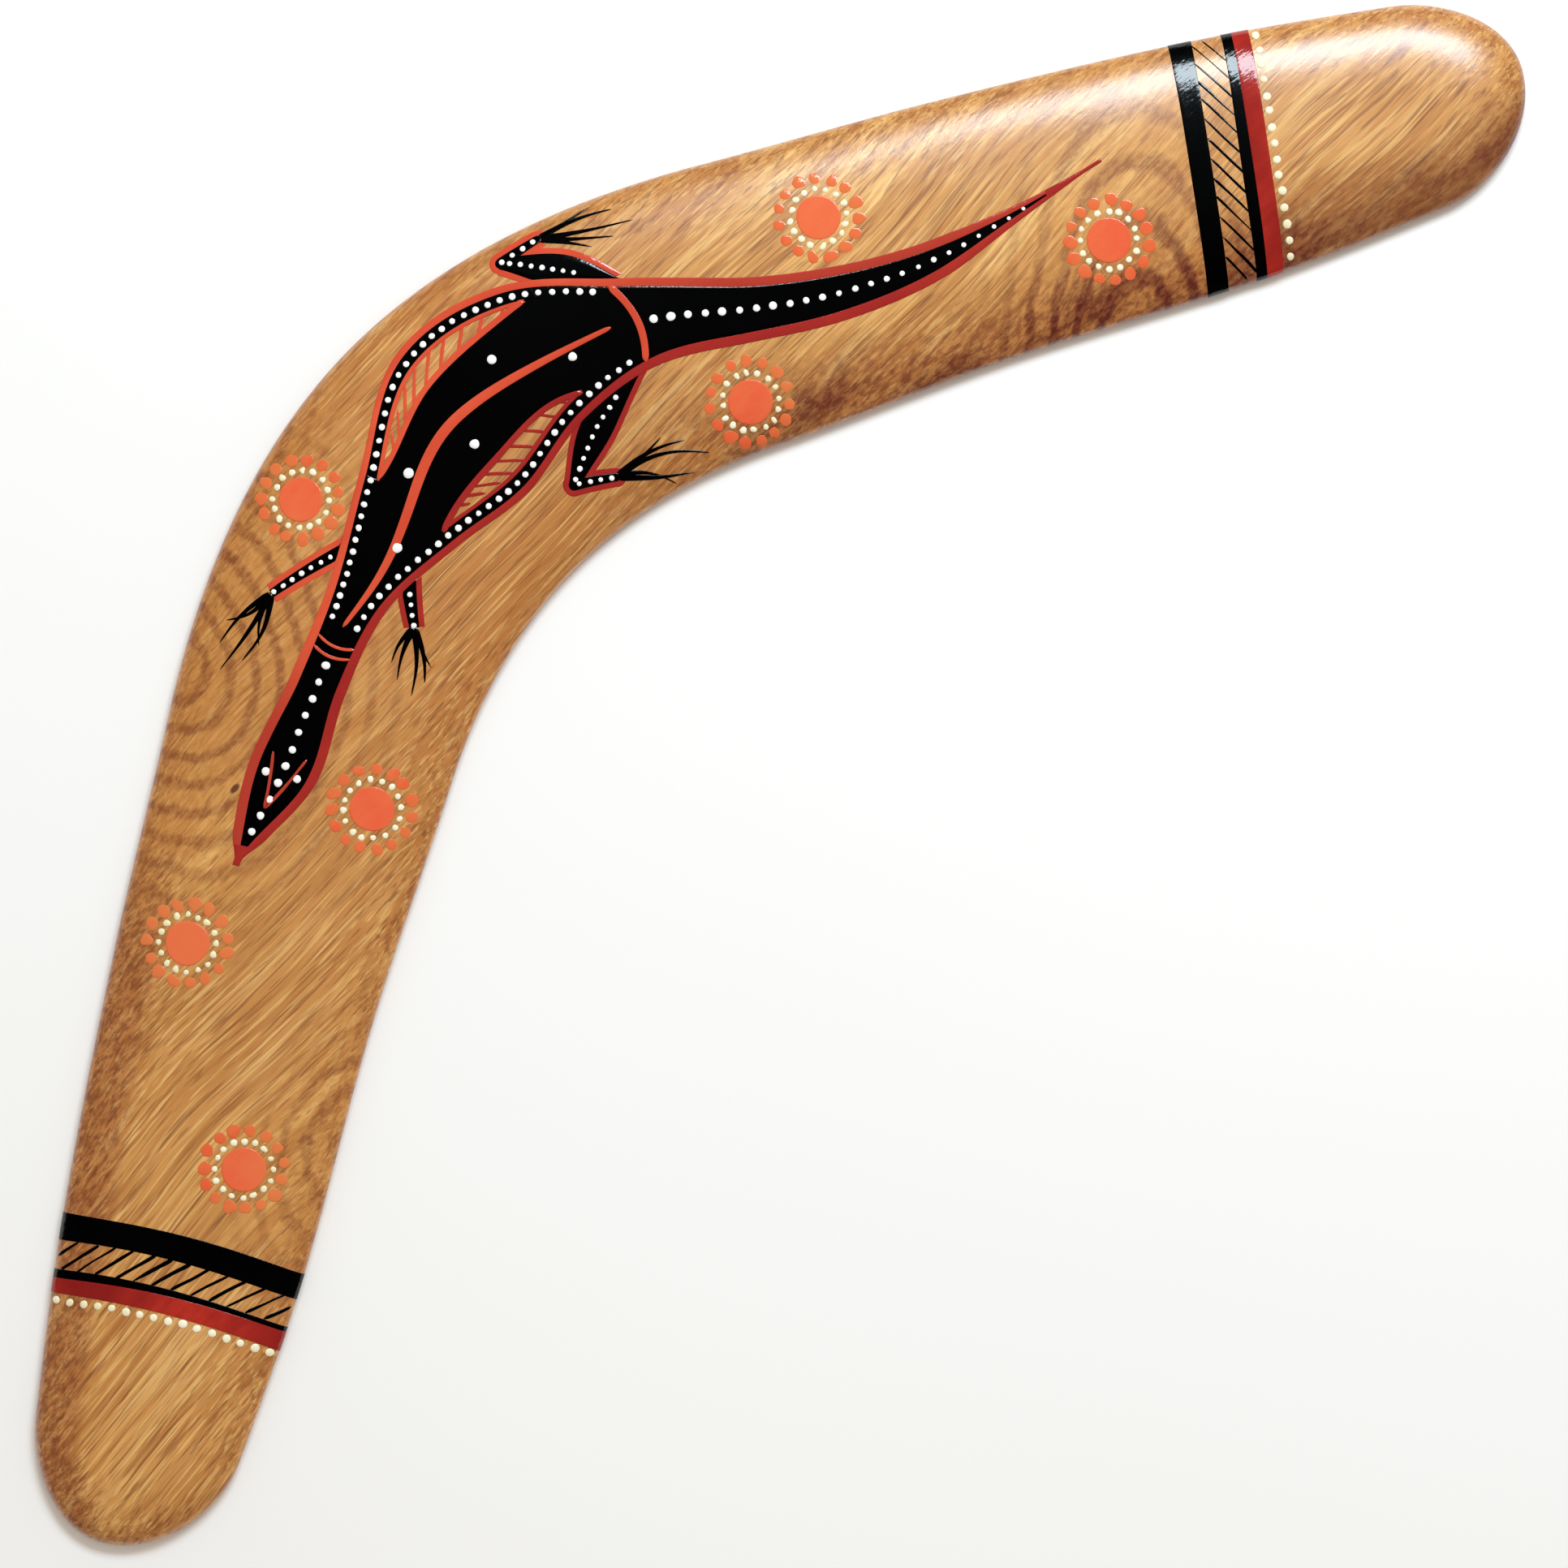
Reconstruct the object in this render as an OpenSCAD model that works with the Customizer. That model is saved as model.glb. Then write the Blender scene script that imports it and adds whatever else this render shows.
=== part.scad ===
// Painted wooden boomerang, lying on its flat underside with the painted face up.
// +X runs from the left tip to the right tip, +Y points to the outside of the elbow, +Z is up.
// The origin is on the underside, at the middle of the elbow.

/* [Centreline] */
// Angle that each arm drops below the line through the elbow, in degrees
arm_angle = 30; // [15:1:45]
// Radius of the bend along the centreline
bend_r = 118; // [60:1:200]
// Length of one arm along the centreline, from the elbow to the tip
arm_len = 221.8; // [140:0.1:320]
// Length of the rounded end of an arm
tip_len = 21.3; // [10:0.1:40]
// How far the rounded end leans to the outer side
tip_lean = 1.0; // [0:0.1:4]

/* [Widths] */
// Centreline to outer edge at the elbow
outer_elbow = 31; // [20:0.5:45]
// Centreline to outer edge at a quarter of the arm
outer_quarter = 27.5; // [18:0.5:42]
// Centreline to outer edge at half of the arm
outer_half = 26.5; // [16:0.5:40]
// Centreline to outer edge at three quarters of the arm
outer_three_quarter = 23.5; // [14:0.5:36]
// Centreline to outer edge at the end of the arm, before it is rounded
outer_end = 17; // [10:0.5:30]
// Centreline to inner edge at the elbow
inner_elbow = 30; // [20:0.5:45]
// Centreline to inner edge at a quarter of the arm
inner_quarter = 29.5; // [18:0.5:42]
// Centreline to inner edge at half of the arm
inner_half = 25.5; // [16:0.5:40]
// Centreline to inner edge at three quarters of the arm
inner_three_quarter = 24; // [14:0.5:36]
// Centreline to inner edge at the end of the arm, before it is rounded
inner_end = 18.5; // [10:0.5:30]

/* [Section] */
// Thickness at the elbow
thick_elbow = 8; // [5:0.1:14]
// Thickness near the tips
thick_tip = 6.8; // [4:0.1:12]
// Height of the widest line of the rounded edge above the underside
edge_r = 2; // [0.8:0.1:3]
// How flat the middle of the top is, with a larger number for a flatter middle
crown_power = 2.8; // [2:0.1:5]
// How full the shoulders are, with a smaller number for fuller shoulders
shoulder_power = 0.62; // [0.4:0.01:0.9]

/* [Paint] */
// Thickness of one coat of paint
film = 0.25; // [0.15:0.01:0.5]
// Height of a painted dot
dot_h = 0.4; // [0.2:0.01:0.8]
// How low the bands come down the rounded edge
band_foot = 0.9; // [0:0.1:3]

/* [Bands] */
// Middle of the right arm's wide band, measured from the elbow
right_band_s = 156.3; // [100:0.1:180]
// How far the right arm's bands lean outward per millimetre across the arm
right_lean = 0.126; // [-0.3:0.001:0.3]
// Middle of the left arm's wide band, measured from the elbow
left_band_s = 164.2; // [100:0.1:180]
// How far the left arm's bands bow toward the elbow
left_bow = 2.2; // [0:0.1:5]
// Width of the right arm's wide band
right_wide_w = 4.5; // [2:0.1:8]
// Width of the left arm's wide band
left_wide_w = 5.2; // [2:0.1:8]
// Width of the right arm's thin black band
right_thin_w = 2.5; // [0.8:0.1:4]
// Width of the left arm's thin black band
left_thin_w = 1.7; // [0.8:0.1:4]
// Width of the red bands
red_w = 3.1; // [1:0.1:6]
// Width of the hatched strip of bare wood
hatch_w = 5.6; // [3:0.1:9]
// Number of hatching strokes in a strip
hatch_n = 13; // [8:1:26]
// How far a right hatching stroke runs inward for each millimetre of the strip's width
right_slant = 1.4; // [0:0.1:2]
// How far a left hatching stroke runs outward for each millimetre of the strip's width
left_slant = 1.1; // [0:0.1:2]
// Width of a right hatching stroke
right_hatch_line = 0.45; // [0.4:0.05:1.2]
// Width of a left hatching stroke
left_hatch_line = 0.65; // [0.4:0.05:1.2]
// Number of dots in the row beside the right red band
right_row_n = 15; // [10:1:24]
// Number of dots in the row beside the left red band
left_row_n = 16; // [10:1:24]
// Radius of a dot in those rows
row_dot_r = 0.8; // [0.4:0.05:1.4]

/* [Rosettes] */
// Radius of a rosette's middle disc
disc_r = 4.3; // [2:0.1:7]
// Radius of the ring of cream dots
cream_ring_r = 5.55; // [3:0.05:8]
// Number of cream dots in a ring
cream_n = 16; // [8:1:20]
// Radius of a cream dot
cream_r = 0.62; // [0.4:0.01:1]
// Radius of the ring of orange dots
orange_ring_r = 7.7; // [5:0.1:12]
// Number of orange dots in a ring
orange_n = 15; // [8:1:20]
// Radius of an orange dot
orange_r = 1.2; // [0.5:0.01:1.8]

/* [Lizard] */
// Nose of the lizard, measured along the centreline from the elbow
nose_s = -88; // [-120:1:-60]
// End of the lizard's tail, measured along the centreline from the elbow
tail_s = 138; // [80:1:150]
// Width of the red line round the lizard
line_w = 1.8; // [0.6:0.1:3]
// Radius of a white dot on the lizard's flanks
white_r = 0.62; // [0.3:0.01:1]
// Number of dots along the outer flank
outer_flank_n = 38; // [16:1:46]
// Number of dots along the inner flank
inner_flank_n = 31; // [16:1:46]
// Half-length of a bare panel in the lizard's flank
panel_half = 20; // [8:1:26]
// Middle of the bare panels, measured along the centreline from the elbow
panel_s = 8; // [-10:1:20]
// Widest part of a bare panel
panel_w = 5; // [2:0.1:7]
// Number of strokes in a bare panel
panel_n = 11; // [5:1:16]
// Width of the black margin outside a bare panel
panel_margin = 2.8; // [2:0.1:5]

/* [Hidden] */
arc_len = bend_r * arm_angle * PI / 180;
arm_flat = arm_len - tip_len;
outer_w = [outer_elbow, outer_quarter, outer_half, outer_three_quarter, outer_end];
inner_w = [inner_elbow, inner_quarter, inner_half, inner_three_quarter, inner_end];
arm_steps = 44;
tip_steps = 10;
top_rings = 8;
edge_steps = 2;
below = 1;
high = 30;

// Rosette centres: distance along the centreline, then distance to the outer side
rosettes = [[82.7, 10.5], [135.2, -9.2], [59.7, -20], [-22.3, 19.5], [-71.2, -15.8],
            [-104.8, 12.5], [-144.5, -8.5]];

// The lizard's half-width and the middle of its back, in even steps from the nose to the end of the tail
lizard_w = [0, 5, 3.8, 4.8, 10.5, 17.2, 14, 7.6, 4.8, 3.6, 2.3, 0.6, 0];
spine_u = [7, 2.6, 0.5, 0.4, 1.4, 5, 6.2, 2.2, -2.4, -4.6, -3.8, 0.6, 6];
lizard_len = tail_s - nose_s;

// Places on the lizard, measured along the centreline from the elbow
collar_s = -41.5;
hip_s = 42;
chevron_s = -76;

// Legs: joints as [along the centreline, out from it, half-width], tip of the middle toe, angle between toes
front_outer = [[[-24, 6, 1.3], [-38.5, 15.5, 0.8]], [-53.5, 19.5], 13];
front_inner = [[[-23.5, -6, 1.6], [-32, -12, 1]], [-46, -17], 13];
back_outer = [[[44, 10.5, 0.6], [36, 17.6, 3], [28, 25, 1.1], [35, 25.4, 0.8]], [50.3, 20.8], 12];
back_inner = [[[41, -5.5, 0.6], [27, -11.6, 3.2], [15, -18.2, 1.1], [24, -21.8, 0.8]], [46.5, -26.2], 10];
leg_line_w = 1.1;
toe_n = 5;
toe_w = 0.55;
joint_sides = 10;
chain_steps = 8;
disc_steps = 20;

wood = "#c78e4e";
black = "#0c0c0d";
red = "#c4302a";
orange = "#ee6445";
cream = "#f6ecc4";
white = "#fafafa";

// ---- Curves ----

// Smooth curve through evenly spaced values, for x from 0 to the last index
function smooth(v, x) =
    let (
        last = len(v) - 1,
        at = min(max(x, 0), last - 0.000001),
        i = floor(at),
        t = at - i,
        before = i > 0 ? v[i - 1] : v[0],
        after = i + 2 <= last ? v[i + 2] : 2 * v[last] - v[last - 1]
    )
    v[i] + 0.5 * t * (v[i + 1] - before
        + t * (2 * before - 5 * v[i] + 4 * v[i + 1] - after
        + t * (3 * (v[i] - v[i + 1]) + after - before)));

// The same curve with a level start, as at the elbow where both arms meet
function smooth_mirrored(v, x) =
    let (t = min(max(x, 0), 1))
    x < 1
        ? v[0] + 0.5 * t * t * (-5 * v[0] + 4 * v[1] - v[2] + 2 * v[1]
            + t * (3 * (v[0] - v[1]) + v[2] - v[1]))
        : smooth(v, x);

function half_width(s, side) =
    smooth_mirrored(side > 0 ? outer_w : inner_w, abs(s) / arm_len * (len(outer_w) - 1));

// ---- The centreline: s along it, u out from it ----

function turn(s) = sign(s) * min(abs(s) / bend_r * 180 / PI, arm_angle);
function past_bend(s) = max(abs(s) - arc_len, 0);
function mid_x(s) = bend_r * sin(turn(s)) + sign(s) * past_bend(s) * cos(arm_angle);
function mid_y(s) = -bend_r * (1 - cos(turn(s))) - past_bend(s) * sin(arm_angle);
function place(s, u) = [mid_x(s) + u * sin(turn(s)), mid_y(s) + u * cos(turn(s))];

// ---- The carved top ----

// 0 on the centreline and 1 on the outline
function reach(s, u) =
    let (
        t = max(abs(s) - arm_flat, 0) / tip_len,
        across = (u - tip_lean * t * t) / half_width(s, u)
    )
    sqrt(across * across + t * t);

function thick(s) = thick_elbow + (thick_tip - thick_elbow) * min(abs(s) / arm_len, 1);
function top_z(s, rho) =
    edge_r + (thick(s) - edge_r) * pow(max(1 - pow(rho, crown_power), 0), shoulder_power);
function top_at(s, u) = concat(place(s, u), top_z(s, reach(s, u)));

// Outward direction of the carved top
function unit(v) = v / norm(v);
function normal_at(s, u) =
    let (d = 0.2)
    unit(cross(top_at(s + d, u) - top_at(s - d, u), top_at(s, u + d) - top_at(s, u - d)));

// ---- The wooden blank, also used with a coat of paint over it ----

// One closed line of points round the blank: rho shrinks the outline, inset moves it in evenly
function tip_point(f, rho, inset, end) =
    let (
        t = (rho - inset / tip_len) * cos(f),
        s = end * (arm_flat + tip_len * t)
    )
    [s, (rho * half_width(s, f) - inset) * sin(f) + tip_lean * t * t];

function ring(rho, inset) = concat(
    [for (i = [0 : arm_steps])
        let (s = arm_flat * (2 * i / arm_steps - 1))
        [s, rho * half_width(s, 1) - inset]],
    [for (j = [1 : tip_steps - 1]) tip_point(90 - 180 * j / tip_steps, rho, inset, 1)],
    [for (i = [0 : arm_steps])
        let (s = arm_flat * (1 - 2 * i / arm_steps))
        [s, inset - rho * half_width(s, -1)]],
    [for (j = [1 : tip_steps - 1]) tip_point(180 * j / tip_steps - 90, rho, inset, -1)]);

ring_n = 2 * (arm_steps + 1) + 2 * (tip_steps - 1);
function ring_rho(k) = 1 - pow(1 - k / top_rings, 1.8);

// Rings over the top, then round the edge, then straight down below the underside
function shell_rings(coat) = concat(
    [for (k = [1 : top_rings])
        let (rho = ring_rho(k), out = coat * pow(rho, 3))
        [for (p = ring(rho, -out)) concat(place(p[0], p[1]), top_z(p[0], rho) + coat)]],
    [for (k = [1 : edge_steps])
        let (a = 90 * k / edge_steps)
        [for (p = ring(1, edge_r * (1 - cos(a)) - coat))
            concat(place(p[0], p[1]), edge_r * (1 - sin(a)))]],
    [[for (p = ring(1, edge_r - coat)) concat(place(p[0], p[1]), -below)]]);

// The middle of a ring, closed by strips across each arm and a fan in each tip
function lid(first, flip) =
    let (
        right = arm_steps,
        left = 2 * arm_steps + tip_steps,
        faces = concat(
            [for (i = [0 : arm_steps - 1])
                [i, i + 1, left - i - 1]],
            [for (i = [0 : arm_steps - 1])
                [i, left - i - 1, left - i]],
            [for (j = [1 : tip_steps - 1])
                [right, right + j, right + j + 1]],
            [for (j = [1 : tip_steps - 1])
                [left, left + j, (left + j + 1) % ring_n]])
    )
    [for (f = faces) flip ? [f[2] + first, f[1] + first, f[0] + first] : [for (v = f) v + first]];

module shell(coat) {
    rings = shell_rings(coat);
    rows = len(rings);
    walls = [for (r = [0 : rows - 2], i = [0 : ring_n - 1])
        let (a = r * ring_n + i, b = r * ring_n + (i + 1) % ring_n)
        each [[a, b + ring_n, b], [a, a + ring_n, b + ring_n]]];
    intersection() {
        polyhedron(
            points = [for (r = rings, p = r) p],
            faces = concat(lid(0, false), walls, lid((rows - 1) * ring_n, true)));
        translate([-arm_len, -arm_len, 0])
            cube([2 * arm_len, 2 * arm_len, high]);
    }
}

module blank() {
    color(wood) shell(0);
}

// ---- Paint ----

// Paint lies only where its outline falls on the wood, or on the coat below it
module coat(level = 0) {
    difference() {
        intersection() {
            children();
            shell(film * (level + 1));
        }
        shell(film * level);
    }
}

// An upright block over a closed line of [s, u]
module block(corners) {
    translate([0, 0, band_foot])
        linear_extrude(high)
            polygon([for (p = corners) place(p[0], p[1])]);
}

// A filled strip between two lines of [s, u]
module strip(one, other) {
    last = len(other) - 1;
    block(concat(one, [for (i = [0 : last]) other[last - i]]));
}

// Edge of a brush stroke beside touch i of a list of [s, u, half-width]
function beside(touches, i, side) =
    let (
        from = touches[max(i - 1, 0)],
        to = touches[min(i + 1, len(touches) - 1)],
        d = unit([to[0] - from[0], to[1] - from[1]])
    )
    [touches[i][0] - side * touches[i][2] * d[1], touches[i][1] + side * touches[i][2] * d[0]];

// A brush stroke through a list of [s, u, half-width]
module stroke(touches) {
    last = len(touches) - 1;
    strip(
        [for (i = [0 : last]) beside(touches, i, 1)],
        [for (i = [0 : last]) beside(touches, i, -1)]);
}

// Stands its children on the carved top at s, u, square to the surface
module seated(s, u, lift) {
    n = normal_at(s, u);
    x = unit(cross([0, 1, 0], n));
    y = cross(n, x);
    p = top_at(s, u) + lift * n;
    multmatrix([
        [x[0], y[0], n[0], p[0]],
        [x[1], y[1], n[1], p[1]],
        [x[2], y[2], n[2], p[2]],
        [0, 0, 0, 1]])
        children();
}

// A dot of thick paint
module dot(s, u, r, lift = 0) {
    seated(s, u, lift + 0.01)
        cylinder(h = dot_h, r1 = r, r2 = r * 0.8, $fn = 24);
}

// ---- Bands ----

// Distance along the arm of a band's middle, at u across the arm
function right_s(shift, u) = right_band_s + shift + right_lean * u;
function left_s(shift, u) =
    -(left_band_s + shift - left_bow * (1 - pow(u / half_width(left_band_s, u), 2)));
function band_s(arm, shift, u) = arm > 0 ? right_s(shift, u) : left_s(shift, u);
function wide_w(arm) = arm > 0 ? right_wide_w : left_wide_w;
function thin_w(arm) = arm > 0 ? right_thin_w : left_thin_w;

// Where each band's middle lies past the middle of the wide band
function hatch_shift(arm) = wide_w(arm) / 2 + hatch_w / 2;
function thin_shift(arm) = wide_w(arm) / 2 + hatch_w + thin_w(arm) / 2;
function red_shift(arm) = thin_shift(arm) + thin_w(arm) / 2 + red_w / 2;
function row_shift(arm) = red_shift(arm) + red_w / 2 + row_dot_r + 0.5;
function across(k, n) = -outer_elbow + 2 * outer_elbow * k / n;

module band(arm, shift, w) {
    coat()
        strip(
            [for (k = [0 : chain_steps])
                let (u = across(k, chain_steps)) [band_s(arm, shift - w / 2, u), u]],
            [for (k = [0 : chain_steps])
                let (u = across(k, chain_steps)) [band_s(arm, shift + w / 2, u), u]]);
}

module hatching(arm) {
    half = half_width(right_band_s, 1);
    slant = hatch_w * (arm > 0 ? -right_slant : left_slant);
    line = arm > 0 ? right_hatch_line : left_hatch_line;
    coat()
        for (k = [0 : hatch_n - 1]) {
            u = half * (2 * (k + 0.5) / hatch_n - 1);
            stroke([for (v = [-1, 1])
                [band_s(arm, hatch_shift(arm) + v * hatch_w / 2, u + v * slant / 2),
                    u + v * slant / 2, line / 2]]);
        }
}

module dot_row(arm) {
    s = band_s(arm, row_shift(arm), 0);
    n = arm > 0 ? right_row_n : left_row_n;
    for (k = [0 : n - 1]) {
        side = 2 * (k + 0.5) / n - 1;
        u = side * 0.99 * half_width(s, side);
        dot(band_s(arm, row_shift(arm), u), u, row_dot_r);
    }
}

module right_wide_band() { color(black) band(1, 0, right_wide_w); }
module right_hatching() { color(black) hatching(1); }
module right_thin_band() { color(black) band(1, thin_shift(1), right_thin_w); }
module right_red_band() { color(red) band(1, red_shift(1), red_w); }
module right_dot_row() { color(cream) dot_row(1); }
module left_wide_band() { color(black) band(-1, 0, left_wide_w); }
module left_hatching() { color(black) hatching(-1); }
module left_thin_band() { color(black) band(-1, thin_shift(-1), left_thin_w); }
module left_red_band() { color(red) band(-1, red_shift(-1), red_w); }
module left_dot_row() { color(cream) dot_row(-1); }

// ---- Rosettes ----

// Point on a circle about a rosette's centre, kept round where the centreline bends
function stretch(c) = abs(c[0]) < arc_len ? 1 + c[1] / bend_r : 1;
function round_point(c, r, a) = [c[0] + r * cos(a) / stretch(c), c[1] + r * sin(a)];

// A disc of paint that follows the carved top
module disc(i) {
    coat()
        block([for (k = [0 : disc_steps - 1])
            round_point(rosettes[i], disc_r, 360 * k / disc_steps)]);
}

module dot_ring(i, n, ring_r, r) {
    for (k = [0 : n - 1]) {
        p = round_point(rosettes[i], ring_r, 360 * k / n);
        dot(p[0], p[1], r);
    }
}

module rosette_disc(i) { color(orange) disc(i); }
module rosette_cream(i) { color(cream) dot_ring(i, cream_n, cream_ring_r, cream_r); }
module rosette_orange(i) { color(orange) dot_ring(i, orange_n, orange_ring_r, orange_r); }

// ---- Lizard ----

function along_lizard(s) = (s - nose_s) / lizard_len;
function spine(s) = smooth(spine_u, along_lizard(s) * (len(spine_u) - 1));
function lizard_half(s) = max(smooth(lizard_w, along_lizard(s) * (len(lizard_w) - 1)), 0.15);
function on_lizard(s, b) = [s, spine(s) + b];

// The red line narrows past both ends of the black, bluntly at the nose, and is finer round the body
nose_point = 4;
nose_taper = 5.5;
nose_blunt = 0.3;
tail_point = 12;
tail_taper = 32;
fine_half = 50;
fine_by = 0.25;
function fine_at(s) = 1 - fine_by * max(0, 1 - pow(s / fine_half, 2));
function line_at(s) = line_w * fine_at(s)
    * max(0.12, min(1, max(nose_blunt, (s - nose_s) / nose_taper), (tail_s - s) / tail_taper));

// Bare panel in a flank: its width at s, and its two edges
function panel_at(s) = panel_w * (1 - pow((s - panel_s) / panel_half, 2));
function panel_out(s) = lizard_half(s) - panel_margin;

body_steps = 46;
panel_steps = 10;
panel_line = 0.6;
function panel_step_s(i) = panel_s + panel_half * (2 * i / panel_steps - 1);

// The black body, or with the red line round it
module lizard_shape(line) {
    first = nose_s + (line ? 0 : nose_point);
    last = tail_s - (line ? 0 : tail_point);
    sides = [for (i = [0 : body_steps])
        let (s = first + (last - first) * i / body_steps)
        [s, lizard_half(s) + (line ? line_at(s) : 0)]];
    strip(
        [for (p = sides) on_lizard(p[0], p[1])],
        [for (p = sides) on_lizard(p[0], -p[1])]);
}

module panel_shape(side) {
    strip(
        [for (i = [0 : panel_steps])
            let (s = panel_step_s(i)) on_lizard(s, side * panel_out(s))],
        [for (i = [0 : panel_steps])
            let (s = panel_step_s(i)) on_lizard(s, side * (panel_out(s) - panel_at(s) - 0.05))]);
}

module lizard_body() {
    color(black) coat()
        difference() {
            lizard_shape(false);
            panel_shape(1);
            panel_shape(-1);
        }
}

module lizard_outline() {
    color(red) coat()
        difference() {
            lizard_shape(true);
            lizard_shape(false);
        }
}

// Slanted strokes in a bare panel
module panel(side) {
    coat()
        intersection() {
            for (k = [0 : panel_n - 1]) {
                s = panel_s + panel_half * (2 * (k + 0.5) / panel_n - 1);
                b = panel_out(s);
                stroke([
                    concat(on_lizard(s + 2, side * b), panel_line / 2),
                    concat(on_lizard(s - 2, side * (b - panel_w)), panel_line / 2)]);
            }
            panel_shape(side);
        }
}

module lizard_outer_panel() { color(orange) panel(1); }
module lizard_inner_panel() { color(orange) panel(-1); }

// Wavy line along the back
module lizard_back_stripe() {
    n = 22;
    color(orange) coat(1)
        stroke([for (i = [0 : n])
            let (s = collar_s + 3 + (hip_s - collar_s - 6) * i / n)
            concat(on_lizard(s, -1.8 * sin(360 * 1.5 * i / n)), 0.4 + 0.6 * sin(180 * i / n))]);
}

// Two thin lines across the neck, a wider one across the hips and a chevron on the head
module lizard_rings() {
    color(orange) coat(1) {
        for (r = [[collar_s, -1, 0.3], [collar_s - 2.2, -1, 0.3], [hip_s, 2, 0.7]]) {
            half = lizard_half(r[0]) - 0.2;
            stroke([for (k = [0 : 6])
                let (v = k / 3 - 1)
                concat(on_lizard(r[0] + r[1] * (1 - v * v), half * v), r[2])]);
        }
        for (side = [-1, 1])
            stroke([
                concat(on_lizard(chevron_s, side * 0.1), 0.3),
                concat(on_lizard(chevron_s + 11, side * 3.4), 0.3)]);
    }
}

module lizard_dot(s, b, r) {
    p = on_lizard(s, b);
    dot(p[0], p[1], r, film);
}

// Dots along the head and the tail, with two eyes and five large dots on the back
module lizard_spine_dots() {
    head_n = 11;
    tail_n = 24;
    back_n = 5;
    color(white) {
        for (k = [0 : head_n - 1])
            lizard_dot(nose_s + 7 + (collar_s - nose_s - 12) * k / (head_n - 1), 0, white_r * 1.2);
        for (side = [-1, 1])
            lizard_dot(nose_s + 19, side * 3.1, white_r * 1.3);
        for (k = [0 : tail_n - 1])
            lizard_dot(hip_s + 5 + 74 * k / (tail_n - 1), 0, white_r * (1.4 - 0.8 * k / tail_n));
        for (k = [0 : back_n - 1]) {
            s = -20 + 12.5 * k;
            lizard_dot(s, (k % 2 == 0 ? -0.27 : 0.27) * lizard_half(s), white_r * 1.6);
        }
    }
}

module flank_dots(side, n) {
    for (k = [0 : n - 1]) {
        s = collar_s + 4 + (hip_s - collar_s - 7) * k / (n - 1);
        lizard_dot(s, side * (lizard_half(s) - 1.4), white_r);
    }
}

module lizard_outer_flank_dots() { color(white) flank_dots(1, outer_flank_n); }
module lizard_inner_flank_dots() { color(white) flank_dots(-1, inner_flank_n); }

// ---- Legs ----

function grown(joints, grow) = [for (j = joints) [j[0], j[1], j[2] + grow]];

// Point at share t of the way along the joints
function along_leg(joints, t) =
    let (
        n = len(joints) - 1,
        i = min(floor(t * n), n - 1),
        f = t * n - i
    )
    joints[i] * (1 - f) + joints[i + 1] * f;

// Straight strokes from joint to joint, with a round touch at each joint
module limb(touches) {
    for (i = [0 : len(touches) - 2])
        stroke([touches[i], touches[i + 1]]);
    for (t = touches)
        block([for (k = [0 : joint_sides - 1])
            let (a = 360 * (k + 0.5) / joint_sides)
            [t[0] + t[2] * cos(a), t[1] + t[2] * sin(a)]]);
}

module toes(leg) {
    joints = leg[0];
    ankle = [joints[len(joints) - 1][0], joints[len(joints) - 1][1]];
    foot = leg[1] - ankle;
    for (k = [0 : toe_n - 1]) {
        aside = k - (toe_n - 1) / 2;
        a = leg[2] * aside;
        end = ankle + (1 - 0.2 * abs(aside)) * [
            foot[0] * cos(a) - foot[1] * sin(a),
            foot[0] * sin(a) + foot[1] * cos(a)];
        mid = ankle * 0.5 + end * 0.5;
        stroke([concat(ankle, toe_w * 1.6), concat(mid, toe_w), concat(end, toe_w * 0.4)]);
    }
}

// The black part of a leg stops at the red line round the body
module leg_black(leg) {
    color(black) coat()
        difference() {
            union() {
                limb(leg[0]);
                toes(leg);
            }
            lizard_shape(true);
        }
}

module leg_edge(leg) {
    color(red) coat()
        difference() {
            limb(grown(leg[0], leg_line_w));
            limb(leg[0]);
            toes(leg);
            lizard_shape(true);
        }
}

module leg_dots(leg, n, first) {
    color(white)
        for (k = [0 : n - 1]) {
            p = along_leg(leg[0], first + (0.97 - first) * k / (n - 1));
            dot(p[0], p[1], white_r * 0.85, film);
        }
}

module front_outer_leg() { leg_black(front_outer); }
module front_outer_leg_edge() { leg_edge(front_outer); }
module front_outer_leg_dots() { leg_dots(front_outer, 7, 0.28); }
module front_inner_leg() { leg_black(front_inner); }
module front_inner_leg_edge() { leg_edge(front_inner); }
module front_inner_leg_dots() { leg_dots(front_inner, 4, 0.35); }
module back_outer_leg() { leg_black(back_outer); }
module back_outer_leg_edge() { leg_edge(back_outer); }
module back_outer_leg_dots() { leg_dots(back_outer, 11, 0.3); }
module back_inner_leg() { leg_black(back_inner); }
module back_inner_leg_edge() { leg_edge(back_inner); }
module back_inner_leg_dots() { leg_dots(back_inner, 13, 0.22); }

// ---- What is drawn ----

blank();
right_wide_band();
right_hatching();
right_thin_band();
right_red_band();
right_dot_row();
left_wide_band();
left_hatching();
left_thin_band();
left_red_band();
left_dot_row();
for (i = [0 : len(rosettes) - 1]) {
    name = str("rosette_", i + 1);
    rosette_disc(i);
    rosette_cream(i);
    rosette_orange(i);
}
lizard_body();
lizard_outline();
lizard_back_stripe();
lizard_rings();
lizard_outer_panel();
lizard_inner_panel();
lizard_spine_dots();
lizard_outer_flank_dots();
lizard_inner_flank_dots();
front_outer_leg();
front_outer_leg_edge();
front_outer_leg_dots();
front_inner_leg();
front_inner_leg_edge();
front_inner_leg_dots();
back_outer_leg();
back_outer_leg_edge();
back_outer_leg_dots();
back_inner_leg();
back_inner_leg_edge();
back_inner_leg_dots();
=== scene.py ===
"""The painted wooden boomerang: a carved, lacquered board with bands, dot rosettes and a lizard in paint."""

import math

import bpy
import numpy as np
from mathutils import Matrix, Vector


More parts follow.
